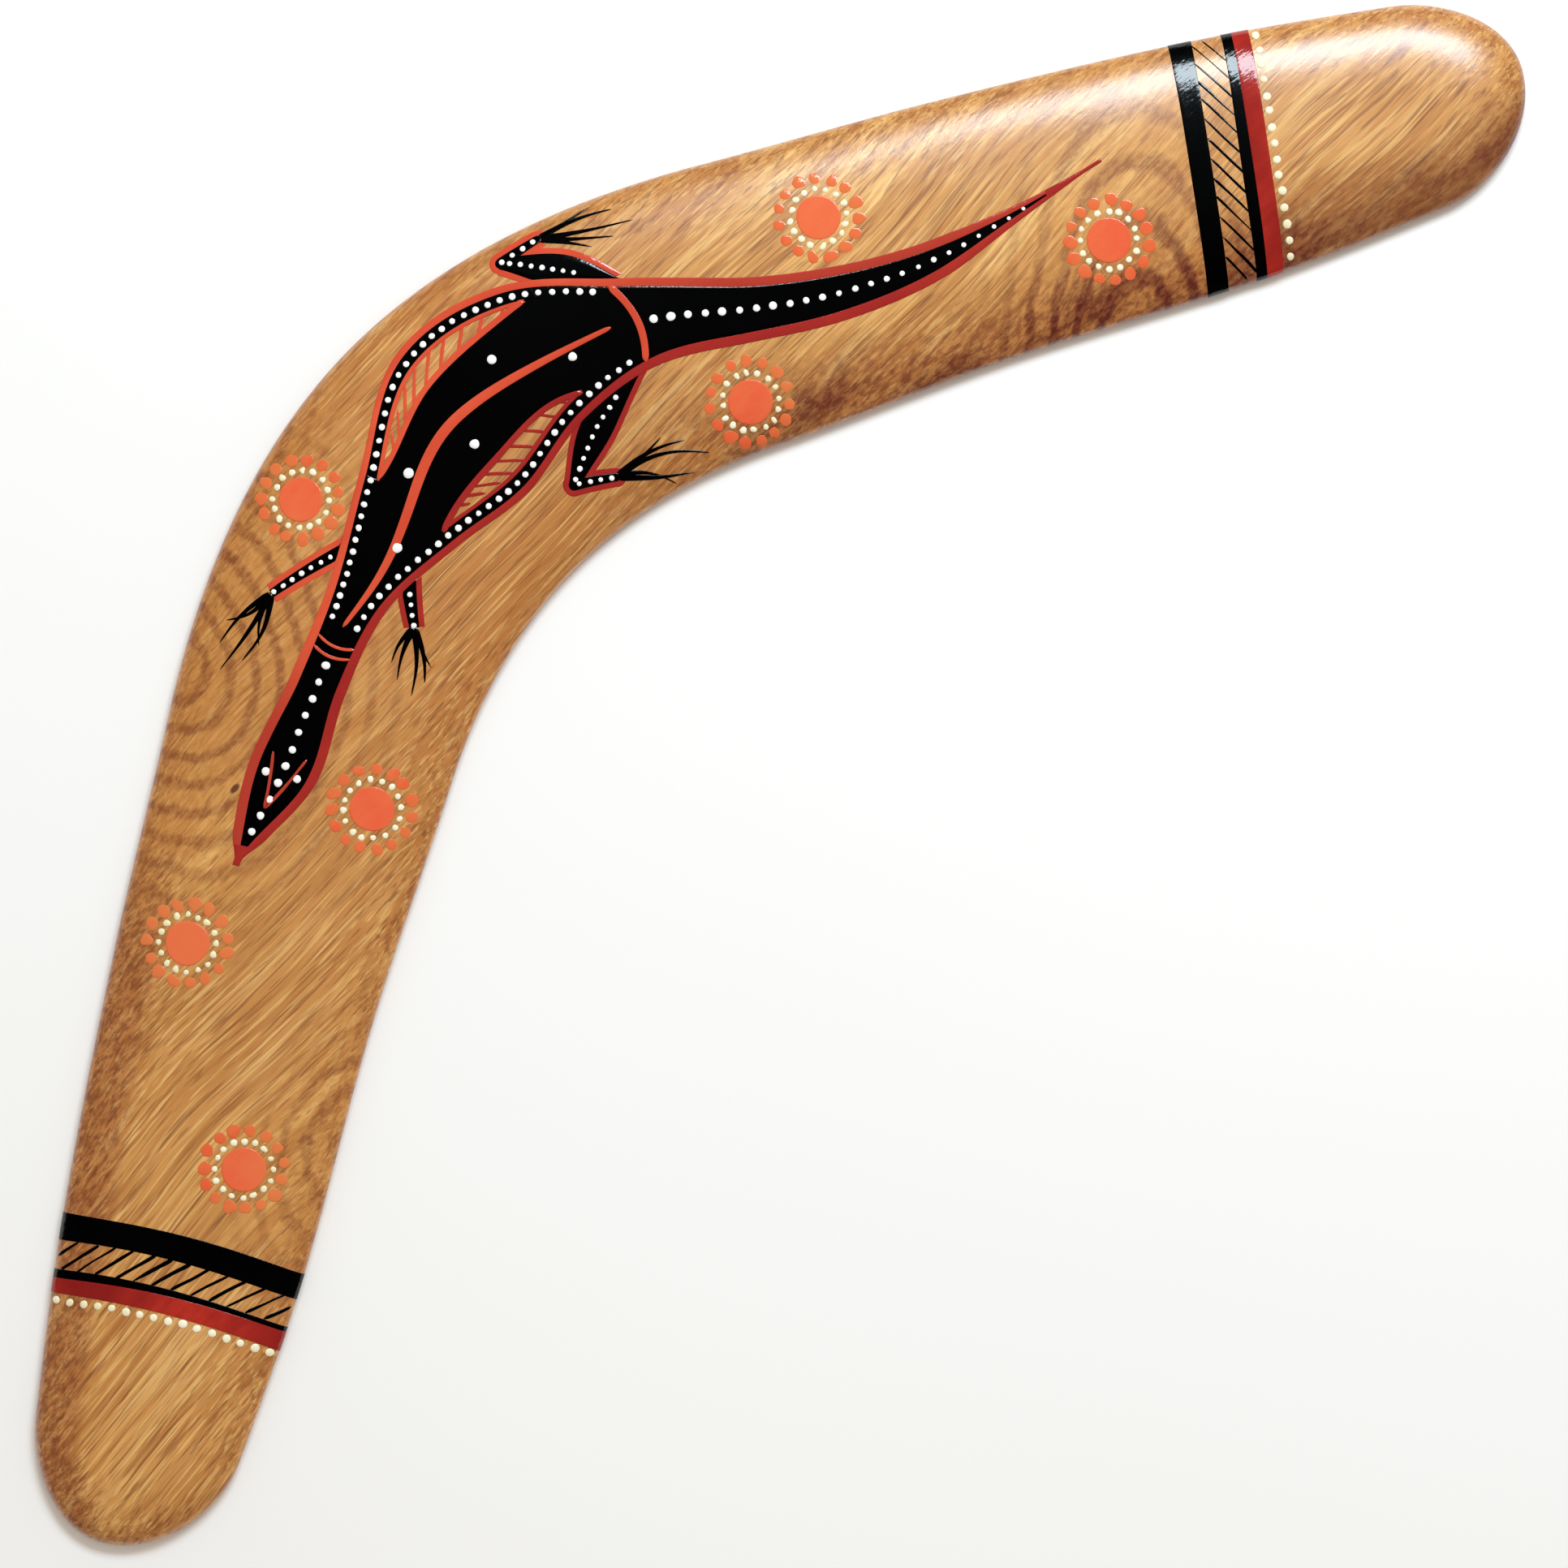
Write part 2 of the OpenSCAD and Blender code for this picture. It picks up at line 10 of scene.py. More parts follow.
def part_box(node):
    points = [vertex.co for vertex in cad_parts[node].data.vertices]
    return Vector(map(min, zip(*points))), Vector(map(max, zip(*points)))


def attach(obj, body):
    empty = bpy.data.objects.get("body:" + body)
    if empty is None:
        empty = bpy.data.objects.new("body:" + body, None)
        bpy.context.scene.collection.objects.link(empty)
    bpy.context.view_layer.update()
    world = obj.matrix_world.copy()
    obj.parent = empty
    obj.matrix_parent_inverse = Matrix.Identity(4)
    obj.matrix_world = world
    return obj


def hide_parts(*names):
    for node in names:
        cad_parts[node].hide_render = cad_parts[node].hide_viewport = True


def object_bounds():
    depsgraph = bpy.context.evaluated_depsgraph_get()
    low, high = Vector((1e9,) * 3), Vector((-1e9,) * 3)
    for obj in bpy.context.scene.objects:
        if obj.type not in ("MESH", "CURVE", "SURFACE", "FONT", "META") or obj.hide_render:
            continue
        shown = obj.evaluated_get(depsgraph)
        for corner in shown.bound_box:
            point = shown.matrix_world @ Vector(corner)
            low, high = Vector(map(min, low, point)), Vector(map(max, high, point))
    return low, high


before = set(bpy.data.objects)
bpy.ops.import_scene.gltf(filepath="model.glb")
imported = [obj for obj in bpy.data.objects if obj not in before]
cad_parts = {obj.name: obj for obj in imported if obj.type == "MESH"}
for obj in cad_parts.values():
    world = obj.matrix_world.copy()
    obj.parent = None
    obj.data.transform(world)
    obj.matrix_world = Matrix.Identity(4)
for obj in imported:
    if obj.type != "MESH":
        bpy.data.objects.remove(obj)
cad_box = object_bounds()

MM = 0.001
rng = np.random.default_rng(11)
ANY_ANGLE = 6.28

# ---- Sizes of the board, in millimetres, as in the CAD ----
ARM_ANGLE = math.radians(30)
BEND_R = 118.0
ARM_LEN = 221.8
TIP_LEN = 21.3
TIP_LEAN = 1.0
OUTER_W = (31, 27.5, 26.5, 23.5, 17)
INNER_W = (30, 29.5, 25.5, 24, 18.5)
THICK_ELBOW = 8.0
THICK_TIP = 6.8
EDGE_R = 2.0
CROWN_POWER = 2.8
SHOULDER_POWER = 0.62
ARC_LEN = BEND_R * ARM_ANGLE
ARM_FLAT = ARM_LEN - TIP_LEN

# ---- Sizes of the painting, in millimetres ----
# s is the distance along the centreline from the elbow, and u the distance out from it.
COAT = 0.10  # height of a flat coat of paint
SINK = 0.12  # how far paint reaches into the wood below it
BAND_FOOT = 0.9  # height above the underside where the bands stop
# For each arm: s of the wide band, the widths of the wide and thin bands, how the bands lean and bow, the
# hatching's slant and line width, and the number of dots in the row
BANDS = {
    1: {
        "s": 156.3, "wide": 4.5, "thin": 2.5, "lean": 0.126, "bow": 0.0,
        "slant": -1.4, "line": 0.45, "dots": 15,
    },
    -1: {
        "s": 164.2, "wide": 5.2, "thin": 1.7, "lean": 0.0, "bow": 2.2,
        "slant": 1.1, "line": 0.65, "dots": 16,
    },
}
RED_W = 3.1
RED_COAT = COAT + 0.03
OVERLAP = 0.4  # how far the red is brushed over the thin band
HATCH_W = 5.6
HATCH_N = 13
HATCH_OVER = 0.54  # half a stroke's length, as a share of the hatching's width
HATCH_REACH = 0.985  # strokes stop just inside the outline
ROW_DOT_R = 0.8
ROW_GAP = 0.5
ROW_REACH = 0.99
DISC_R, DISC_COAT = 4.3, 0.12
# Rings of a rosette: radius of the ring, number of dots, their radius, and their height as a share of it
CREAM_RING_R, CREAM_N, CREAM_R, CREAM_TALL = 5.55, 16, 0.62, 0.35
ORANGE_RING_R, ORANGE_N, ORANGE_R, ORANGE_TALL = 7.7, 15, 1.2, 0.08
WHITE_R = 0.62
FINE_COAT = 0.12  # height of fine strokes

# ---- Sizes of the lizard, in millimetres ----
NOSE_S, TAIL_S = -88.0, 138.0
COLLAR_S, HIP_S, CHEVRON_S = -41.5, 42.0, -76.0
# Half-width, and u of the middle of the back, in even steps from the nose to the end of the tail
LIZARD_W = (0, 5, 3.8, 4.8, 10.5, 17.2, 14, 7.6, 4.8, 3.6, 2.3, 0.6, 0)
SPINE_U = (7, 2.6, 0.5, 0.4, 1.4, 5, 6.2, 2.2, -2.4, -4.6, -3.8, 0.6, 6)
# The red line round it: its width, how far it goes past the black and narrows at each end, and how much
# finer it is round the belly
LINE_W = 1.8
LINE_COAT = COAT + 0.04
NOSE_POINT, NOSE_TAPER, NOSE_BLUNT = 4.0, 5.5, 0.3
TAIL_POINT, TAIL_TAPER = 12.0, 32.0
FINE_HALF, FINE_BY = 50.0, 0.25
BLACK_FROM, BLACK_TO = NOSE_S + NOSE_POINT, TAIL_S - TAIL_POINT
# The bare panels in the flanks: their middle, half-length, width, strokes, and the black margin outside them
PANEL_S, PANEL_HALF, PANEL_W, PANEL_N, PANEL_MARGIN = 8.0, 20.0, 5.0, 11, 2.8
PANEL_LEAN = 5.2  # how far a stroke leans along the panel
HEAD_DOTS, TAIL_DOTS, BACK_DOTS = 11, 24, 5
OUTER_FLANK_N, INNER_FLANK_N = 38, 31
# Legs: joints as s, u and half-width; the tip of the middle toe; the angle between toes; the number of dots
# and where they start along the leg
LEGS = {
    "front_outer": (((-24, 6, 1.3), (-38.5, 15.5, 0.8)), (-53.5, 19.5), 13, 7, 0.28),
    "front_inner": (((-23.5, -6, 1.6), (-32, -12, 1)), (-46, -17), 13, 4, 0.35),
    "back_outer": (
        ((44, 10.5, 0.6), (36, 17.6, 3), (28, 25, 1.1), (35, 25.4, 0.8)), (50.3, 20.8), 12, 11, 0.3,
    ),
    "back_inner": (
        ((41, -5.5, 0.6), (27, -11.6, 3.2), (15, -18.2, 1.1), (24, -21.8, 0.8)), (46.5, -26.2), 10, 13, 0.22,
    ),
}
LEG_LINE_W = 1.1
LEG_LIFT = 0.06  # the black of a leg lies this far over its red
TOE_N, TOE_W = 5, 0.55


# ---- The carved shape ----
def curve(values, x, mirrored=False):
    """Smooth curve through evenly spaced values; mirrored gives it a level start."""
    v = np.asarray(values, float)
    padded = np.concatenate([[v[1] if mirrored else v[0]], v, [2 * v[-1] - v[-2]]])
    x = np.clip(np.asarray(x, float), 0, len(v) - 1 - 1e-6)
    i = np.floor(x).astype(int)
    t = x - i
    a, b, c, d = (padded[i + k] for k in range(4))
    return b + 0.5 * t * (c - a + t * (2 * a - 5 * b + 4 * c - d + t * (3 * (b - c) + d - a)))


def half_width(s, side):
    x = np.abs(s) / ARM_LEN * (len(OUTER_W) - 1)
    return np.where(np.asarray(side) > 0, curve(OUTER_W, x, True), curve(INNER_W, x, True))


def place(s, u):
    """Plan position of a point s along the centreline and u out from it."""
    s, u = np.asarray(s, float), np.asarray(u, float)
    turn = np.sign(s) * np.minimum(np.abs(s) / BEND_R, ARM_ANGLE)
    past = np.maximum(np.abs(s) - ARC_LEN, 0)
    x = BEND_R * np.sin(turn) + np.sign(s) * past * math.cos(ARM_ANGLE) + u * np.sin(turn)
    y = -BEND_R * (1 - np.cos(turn)) - past * math.sin(ARM_ANGLE) + u * np.cos(turn)
    return np.stack([x, y], -1)


def locate(x, y):
    """The s and u of a plan position."""
    ax = np.abs(x)
    turn = np.arctan2(ax, y + BEND_R)
    ex, ey = BEND_R * math.sin(ARM_ANGLE), -BEND_R * (1 - math.cos(ARM_ANGLE))
    along = (ax - ex) * math.cos(ARM_ANGLE) - (y - ey) * math.sin(ARM_ANGLE)
    out = (ax - ex) * math.sin(ARM_ANGLE) + (y - ey) * math.cos(ARM_ANGLE)
    bent = turn < ARM_ANGLE
    s = np.where(bent, BEND_R * turn, ARC_LEN + along)
    u = np.where(bent, np.hypot(ax, y + BEND_R) - BEND_R, out)
    return np.where(x < 0, -s, s), u


def reach(s, u):
    """0 on the centreline and 1 on the outline."""
    t = np.maximum(np.abs(s) - ARM_FLAT, 0) / TIP_LEN
    return np.hypot((u - TIP_LEAN * t * t) / half_width(s, u), t)


def tool_marks(x, y):
    """The slight unevenness of a hand-sanded top."""
    return (
        0.060 * np.sin(0.055 * x + 1.3) * np.sin(0.11 * y + 0.4)
        + 0.035 * np.sin(0.16 * x - 0.12 * y)
        + 0.020 * np.sin(0.31 * x + 0.23 * y + 2.0)
    )


def top_z(s, rho, x, y):
    thick = THICK_ELBOW + (THICK_TIP - THICK_ELBOW) * np.minimum(np.abs(s) / ARM_LEN, 1)
    full = np.maximum(1 - np.power(rho, CROWN_POWER), 0)
    return EDGE_R + (thick - EDGE_R) * np.power(full, SHOULDER_POWER) + tool_marks(x, y) * full


def height(x, y):
    s, u = locate(x, y)
    return top_z(s, np.minimum(reach(s, u), 1), x, y)


def on_top(xy):
    """Points of the carved top over plan positions, and the outward directions there."""
    x, y = xy[..., 0], xy[..., 1]
    d = 0.05
    z = height(x, y)
    zx = (height(x + d, y) - height(x - d, y)) / (2 * d)
    zy = (height(x, y + d) - height(x, y - d)) / (2 * d)
    n = np.stack([-zx, -zy, np.ones_like(zx)], -1)
    return np.stack([x, y, z], -1), n / np.linalg.norm(n, axis=-1, keepdims=True)


# ---- Meshes ----
class Build:
    """Collects closed shells and makes one object of them."""

    def __init__(self):
        self.points, self.faces, self.kinds, self.n = [], [], [], 0
        self.kind = 0  # which of the object's materials the next shells take

    def add(self, points, faces):
        self.points.append(np.asarray(points, float).reshape(-1, 3))
        self.faces += [tuple(int(v) + self.n for v in f) for f in faces]
        self.kinds += [self.kind] * len(faces)
        self.n += len(self.points[-1])

    def make(self, name, materials, slot, *nodes):
        mesh = bpy.data.meshes.new(name)
        mesh.from_pydata((np.concatenate(self.points) * MM).tolist(), [], self.faces)
        for material in materials:
            mesh.materials.append(material)
        mesh.polygons.foreach_set("material_index", self.kinds)
        mesh.polygons.foreach_set("use_smooth", [True] * len(mesh.polygons))
        mesh.update()
        obj = bpy.data.objects.new(name, mesh)
        bpy.context.scene.collection.objects.link(obj)
        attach(obj, "root")
        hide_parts(*nodes)
        return obj


def round_over(d, r=0.08):
    """0 at an edge, rising as a quarter circle to 1 at r from it."""
    x = np.clip(d / r, 0, 1)
    return np.sqrt(1 - (1 - x) ** 2)


def shell(build, low, high):
    """Closes the space between two grids of points, high above low."""
    rows, cols = low.shape[:2]
    points = np.concatenate([high.reshape(-1, 3), low.reshape(-1, 3)])
    base = rows * cols
    faces = []
    for i in range(rows - 1):
        for j in range(cols - 1):
            a = i * cols + j
            faces.append((a, a + cols, a + cols + 1, a + 1))
            faces.append((base + a, base + a + 1, base + a + cols + 1, base + a + cols))
    rim = (
        [j for j in range(cols)]
        + [i * cols + cols - 1 for i in range(1, rows)]
        + [(rows - 1) * cols + j for j in range(cols - 2, -1, -1)]
        + [i * cols for i in range(rows - 2, 0, -1)]
    )
    for a, b in zip(rim, rim[1:] + rim[:1]):
        faces.append((a, b, base + b, base + a))
    build.add(points, faces)


EDGE_STOPS = (0.0, 0.02, 0.05, 0.10)


def stops(length, step):
    """Places along a length: close together near both ends and even between."""
    ends = [e for e in EDGE_STOPS if e < length * 0.4]
    inner = np.linspace(ends[-1], length - ends[-1], max(2, int(length / step) + 2))
    return np.unique(np.round(np.concatenate([ends, inner, length - np.array(ends)]), 6)) / length


def resample(line, t):
    line = np.asarray(line, float)
    along = np.concatenate([[0], np.cumsum(np.linalg.norm(np.diff(line, axis=0), axis=1))])
    return np.stack([np.interp(t * along[-1], along, line[:, k]) for k in range(line.shape[1])], -1)


def length_of(line):
    return float(np.linalg.norm(np.diff(line, axis=0), axis=1).sum())


def strip(build, one, other, coat=COAT, lift=0.0, step=1.2, ends=(True, True)):
    """A coat of paint between two lines of plan positions; ends says which ends are rounded over."""
    one, other = np.asarray(one, float), np.asarray(other, float)
    long = max(length_of(one), length_of(other))
    t = stops(long, step)
    a, b = resample(one, t), resample(other, t)
    width = np.linalg.norm(a - b, axis=1)
    across = stops(max(width.max(), 0.05), 1.4)
    xy = a[:, None] * (1 - across[None, :, None]) + b[:, None] * across[None, :, None]
    p, n = on_top(xy)
    h = round_over(np.minimum(across, 1 - across)[None, :] * width[:, None])
    if ends[0]:
        h = h * round_over(t * long)[:, None]
    if ends[1]:
        h = h * round_over((1 - t) * long)[:, None]
    turn = np.cross(np.append(a[1] - a[0], 0), np.append(b[1] - a[0], 0))[2]
    low, high = p - n * SINK, p + n * (lift + coat * h)[..., None]
    if turn < 0:
        low, high = low[:, ::-1], high[:, ::-1]
    shell(build, low, high)


def sides_of(path, half):
    """The two edges of a stroke with the given half-widths along a path."""
    path = np.asarray(path, float)
    d = np.gradient(path, axis=0)
    d /= np.linalg.norm(d, axis=1, keepdims=True)
    n = np.stack([-d[:, 1], d[:, 0]], -1) * np.asarray(half, float)[:, None]
    return path + n, path - n


def wobble(n, amount, waves=5):
    """A smooth, uneven hand movement with n values."""
    x = np.linspace(0, 1, n)
    out = np.zeros(n)
    for k in range(1, waves + 1):
        out += rng.normal() * np.sin(math.pi * k * x + rng.uniform(0, ANY_ANGLE)) / k
    return out * amount


def stroke(build, path, half, coat=COAT, lift=0.0, shake=0.04, step=0.8):
    """A brush stroke along a path of plan positions, with rounded ends."""
    path = np.asarray(path, float)
    long = length_of(path)
    half = np.asarray(half, float) * np.ones(len(path))
    t = stops(long, step)
    fine = resample(np.column_stack([path, half]), t)
    xy, w = fine[:, :2], fine[:, 2]
    from_end = np.minimum(t, 1 - t) * long
    w = w * np.maximum(round_over(from_end, np.minimum(w.max(), long * 0.3)), 0.12)
    w = np.maximum(w + wobble(len(t), shake), w * 0.4)
    xy[:, 0] += wobble(len(t), shake)
    xy[:, 1] += wobble(len(t), shake)
    one, other = sides_of(xy, w)
    strip(build, one, other, coat, lift, step, ends=(False, False))


def blob(build, xy, radius, tall, uneven=0.06, lift=0.0, flat=0.0, around=18, rings=5):
    """A dab of paint: a round, slightly uneven dome that follows the top. flat keeps its middle level."""
    a = np.linspace(0, 2 * math.pi, around, endpoint=False)
    edge = np.ones(around)
    for k in (2, 3, 5):
        edge += uneven / k * rng.normal() * np.cos(k * a + rng.uniform(0, ANY_ANGLE))
    f = np.sin(np.linspace(0, 1, rings + 1)[1:] * math.pi / 2)
    r = radius * f[:, None] * edge[None, :]
    ring = np.stack([xy[0] + r * np.cos(a), xy[1] + r * np.sin(a)], -1)
    p, n = on_top(ring)
    if flat:
        rise = round_over((1 - f) * radius, flat)
    else:
        rise = np.power(np.maximum(1 - f * f, 0), 0.55)
    h = lift + tall * rise
    high = p + n * h[:, None, None]
    foot = p[-1] - n[-1] * SINK
    middle, up = on_top(np.array([xy], float))
    points = np.concatenate([middle + up * (lift + tall), high.reshape(-1, 3), foot, middle - up * SINK])
    faces = [(0, 1 + j, 1 + (j + 1) % around) for j in range(around)]
    for i in range(rings):
        for j in range(around):
            b, c = 1 + i * around + j, 1 + i * around + (j + 1) % around
            faces.append((b, b + around, c + around, c))
    first, last = 1 + rings * around, len(points) - 1
    faces += [(last, first + (j + 1) % around, first + j) for j in range(around)]
    build.add(points, faces)


def dot(build, s, u, radius, tall=None, lift=0.0, shift=0.12):
    xy = place(s, u) + rng.normal(0, shift, 2)
    size = radius * rng.uniform(0.88, 1.12)
    blob(build, xy, size, tall or 0.3 * size, lift=lift, around=14, rings=4)


# ---- Materials ----
def srgb(r, g, b):
    """Linear colour of an 8-bit screen colour."""
    def one(v):
        v /= 255
        return v / 12.92 if v <= 0.04045 else ((v + 0.055) / 1.055) ** 2.4
    return (one(r), one(g), one(b), 1.0)


class Nodes:
    """Short names for making shader nodes."""

    def __init__(self, name):
        self.material = bpy.data.materials.new(name)
        self.material.use_nodes = True
        self.tree = self.material.node_tree
        self.shader = self.tree.nodes["Principled BSDF"]

    def new(self, kind, **values):
        node = self.tree.nodes.new(kind)
        for key, value in values.items():
            setattr(node, key, value)
        return node

    def link(self, a, b):
        self.tree.links.new(a, b)

    def put(self, socket, value):
        if hasattr(value, "links"):
            self.link(value, socket)
        else:
            socket.default_value = value

    def math(self, op, a, b=0.0, clamp=False):
        node = self.new("ShaderNodeMath", operation=op, use_clamp=clamp)
        self.put(node.inputs[0], a)
        self.put(node.inputs[1], b)
        return node.outputs[0]

    def vector(self, op, a, b):
        node = self.new("ShaderNodeVectorMath", operation=op)
        self.put(node.inputs[0], a)
        self.put(node.inputs[1], b)
        return node.outputs["Value" if op in ("DISTANCE", "LENGTH", "DOT_PRODUCT") else "Vector"]

    def coords(self, scale, warp=None, offset=(0, 0, 0)):
        base = warp if warp is not None else self.new("ShaderNodeTexCoord").outputs["Object"]
        node = self.new("ShaderNodeMapping")
        node.inputs["Scale"].default_value = scale
        node.inputs["Location"].default_value = offset
        self.link(base, node.inputs["Vector"])
        return node.outputs[0]

    def noise(self, scale, detail=3.0, rough=0.5, warp=None, offset=(0, 0, 0)):
        node = self.new("ShaderNodeTexNoise")
        node.inputs["Scale"].default_value = 1.0
        node.inputs["Detail"].default_value = detail
        node.inputs["Roughness"].default_value = rough
        self.link(self.coords(scale, warp, offset), node.inputs["Vector"])
        return node.outputs["Fac"]

    def ramp(self, value, *stops):
        node = self.new("ShaderNodeValToRGB")
        self.link(value, node.inputs[0])
        elements = node.color_ramp.elements
        while len(elements) < len(stops):
            elements.new(0.5)
        for e, (pos, colour) in zip(elements, stops):
            e.position = pos
            e.color = colour if hasattr(colour, "__len__") else (colour, colour, colour, 1)
        return node.outputs["Color"]

    def mix(self, factor, a, b):
        node = self.new("ShaderNodeMix", data_type="RGBA")
        self.put(node.inputs[0], factor)
        self.put(node.inputs[6], a)
        self.put(node.inputs[7], b)
        return node.outputs[2]

    def bump(self, height, strength, distance):
        node = self.new("ShaderNodeBump")
        node.inputs["Strength"].default_value = strength
        node.inputs["Distance"].default_value = distance
        self.link(height, node.inputs["Height"])
        return node.outputs[0]

    def lacquer(self, roughness, ripple):
        """A clear coat with the faint ripple of brushed lacquer."""
        s = self.shader
        s.inputs["Coat Weight"].default_value = 1.0
        s.inputs["Coat Roughness"].default_value = roughness
        s.inputs["Coat IOR"].default_value = 1.5
        waves = self.bump(self.noise((420, 1300, 1300), 2.0, 0.6), ripple, 0.00007)
        self.link(waves, s.inputs["Coat Normal"])


# Places in the wood where the growth layers come to the top as nested curved lines: the middle in metres,
# the direction they are drawn out in and how far, the distance between lines, their reach and their strength
FIGURES = (
    ((-0.064, 0.009), -136, 1.25, 0.0045, 0.034, 0.85),
    ((0.113, -0.072), -136, 2.00, 0.0050, 0.022, 0.80),
    ((-0.112, -0.074), -160, 1.80, 0.0036, 0.014, 0.70),
    ((-0.022, 0.040), -150, 1.60, 0.0040, 0.018, 0.45),
    ((0.030, 0.012), -110, 1.50, 0.0044, 0.016, 0.30),
)
KNOT_S, KNOT_U = -73.7, 10.7


def wandering_grain(m, obj):
    """Places in which the grain wanders a little from a straight line."""
    drift = m.new("ShaderNodeTexNoise")
    drift.inputs["Scale"].default_value = 14.0
    drift.inputs["Detail"].default_value = 1.0
    m.link(obj, drift.inputs["Vector"])
    centred = m.vector("SUBTRACT", drift.outputs["Color"], (0.5, 0.5, 0.5))
    return m.vector("ADD", obj, m.vector("MULTIPLY", centred, (0.0, 0.012, 0.004)))


def growth_lines(m, obj, grain):
    """Nested lines, and how strongly each place is figured by them."""
    bent = m.math("MULTIPLY", m.noise((22, 30, 30), 2.0, 0.5, None, (7, 3, 0)), 0.008)
    ragged = m.noise((90, 420, 420), 3.0, 0.6, grain, (4, 9, 3))
    bent = m.math("ADD", bent, m.math("MULTIPLY", ragged, 0.0022))
    lines, figured = 0.0, 0.0
    for centre, turn, long, between, far, strength in FIGURES:
        place_in = m.new("ShaderNodeMapping", vector_type="TEXTURE")
        place_in.inputs["Location"].default_value = (*centre, 0)
        place_in.inputs["Rotation"].default_value = (0, 0, math.radians(turn))
        place_in.inputs["Scale"].default_value = (long, 1, 1)
        m.link(obj, place_in.inputs["Vector"])
        away = m.vector("LENGTH", place_in.outputs[0], (0, 0, 0))
        near = m.ramp(m.math("DIVIDE", away, far * 1.5), (0.45, 1.0), (1.0, 0.0))
        wave = m.math("SINE", m.math("MULTIPLY", m.math("ADD", away, bent), 2 * math.pi / between))
        line = m.ramp(m.math("ADD", m.math("MULTIPLY", wave, 0.5), 0.5), (0.45, 0.0), (0.92, 1.0))
        near = m.math("MULTIPLY", near, strength)
        lines = m.math("ADD", m.math("MULTIPLY", line, near), lines)
        figured = m.math("ADD", near, figured)
    return lines, m.math("MINIMUM", figured, 1.0)


def ground_tones(m, grain, streak, across, figured):
    """Broad streaks of lighter and darker wood."""
    broad = m.noise((8, 50, 50), 3.0, 0.55, grain)
    wide = m.noise((11, 260, 260), 4.0, 0.6, grain, (2, 2, 7))
    tone = m.math("ADD", m.math("MULTIPLY", wide, 0.5), m.math("MULTIPLY", streak, 0.5))
    base = m.ramp(
        tone,
        (0.37, srgb(174, 112, 50)),
        (0.46, srgb(202, 140, 70)),
        (0.54, srgb(220, 160, 85)),
        (0.62, srgb(240, 194, 120)),
    )
    base = m.mix(m.ramp(broad, (0.38, 0.50), (0.58, 0.0)), base, srgb(184, 114, 50))
    # The bend is a little redder than the arms.
    bend = m.ramp(m.math("ABSOLUTE", across), (0.02, 0.45), (0.085, 0.0))
    base = m.mix(bend, base, srgb(184, 112, 50))
    return m.mix(m.math("MULTIPLY", figured, 0.40), base, srgb(218, 152, 72))


def fibres_and_lines(m, base, dark, light, speck, lines, figured):
    """Crisp dark and light fibres, some millimetres long, and a mottle where the lines are nested."""
    straight = m.math("SUBTRACT", 1.0, m.math("MULTIPLY", figured, 0.75))
    dark_fibre = m.math("MULTIPLY", m.ramp(dark, (0.55, 0.0), (0.64, 0.58)), straight)
    light_fibre = m.math("MULTIPLY", m.ramp(light, (0.55, 0.0), (0.64, 0.55)), straight)
    base = m.mix(dark_fibre, base, srgb(134, 76, 32))
    base = m.mix(light_fibre, base, srgb(240, 194, 118))
    base = m.mix(m.math("MULTIPLY", m.math("MULTIPLY", figured, speck), 0.35), base, srgb(166, 98, 42))
    dim_line = m.math("MULTIPLY", lines, m.math("ADD", m.math("MULTIPLY", speck, 0.4), 0.5), clamp=True)
    return m.mix(dim_line, base, srgb(140, 74, 30))


def margins(m, base, grain, normal, across, speck, lines):
    """Where the grain runs out of a margin it shows as dark specks on a darker ground; the margins that face
    away from the key light are darker still, which is painted shade.
    """
    # 0 on the flat and 1 on the steep margins
    slope = m.ramp(m.math("ABSOLUTE", m.vector("DOT_PRODUCT", normal, (0, 0, 1))), (0.86, 1.0), (0.99, 0.0))
    # Painted shade: the left arm's outer margin, which faces away from the key light, is darkened.
    left_end = m.ramp(m.math("MULTIPLY", across, -1.0), (0.085, 0.0), (0.110, 1.0))
    left_shade = m.ramp(m.vector("DOT_PRODUCT", normal, (-0.69, 0.72, 0)), (0.13, 0.0), (0.22, 1.0))
    left_shade = m.math("MULTIPLY", left_shade, left_end)
    right_arm = m.ramp(across, (0.00, 0.0), (0.060, 1.0))
    # Painted shade: the right arm's inner margin, which faces away from the key light, is darkened.
    low_shade = m.ramp(m.vector("DOT_PRODUCT", normal, (-0.50, -0.866, 0)), (0.04, 0.0), (0.30, 1.0))
    low_shade = m.math("MULTIPLY", low_shade, right_arm)
    # The margins facing away from the light take painted shade; every steep margin takes a lesser darkening for
    # its end grain.
    margin = m.math("MAXIMUM", m.math("MAXIMUM", left_shade, low_shade), m.math("MULTIPLY", slope, 0.35))
    base = m.mix(m.math("MULTIPLY", margin, 0.45), base, srgb(164, 86, 38))
    base = m.mix(m.math("MULTIPLY", m.math("MULTIPLY", margin, speck), 0.60), base, srgb(116, 50, 23))
    # Painted shade: darker still on the low margin near the right arm's tip.
    low_tip_shade = m.math("MULTIPLY", low_shade, m.ramp(across, (0.125, 0.0), (0.160, 0.55)))
    base = m.mix(low_tip_shade, base, srgb(112, 58, 30))
    # The right arm's inner margin is a deep red: partly a stain that follows the nested lines inwards, partly
    # painted shade, as it lies only where the margin faces away from the key light.
    red_stain_in_shade = m.noise((46, 90, 90), 3.0, 0.6, grain, (6, 2, 5))
    red_stain_in_shade = m.ramp(red_stain_in_shade, (0.42, 0.0), (0.58, 0.8))
    red_stain_in_shade = m.math("MAXIMUM", red_stain_in_shade, m.math("MULTIPLY", lines, 1.3), clamp=True)
    red_stain_in_shade = m.math("MULTIPLY", red_stain_in_shade, m.math("ADD", m.math("MULTIPLY", speck, 0.35), 0.65))
    return m.mix(m.math("MULTIPLY", low_shade, red_stain_in_shade), base, srgb(98, 24, 14))


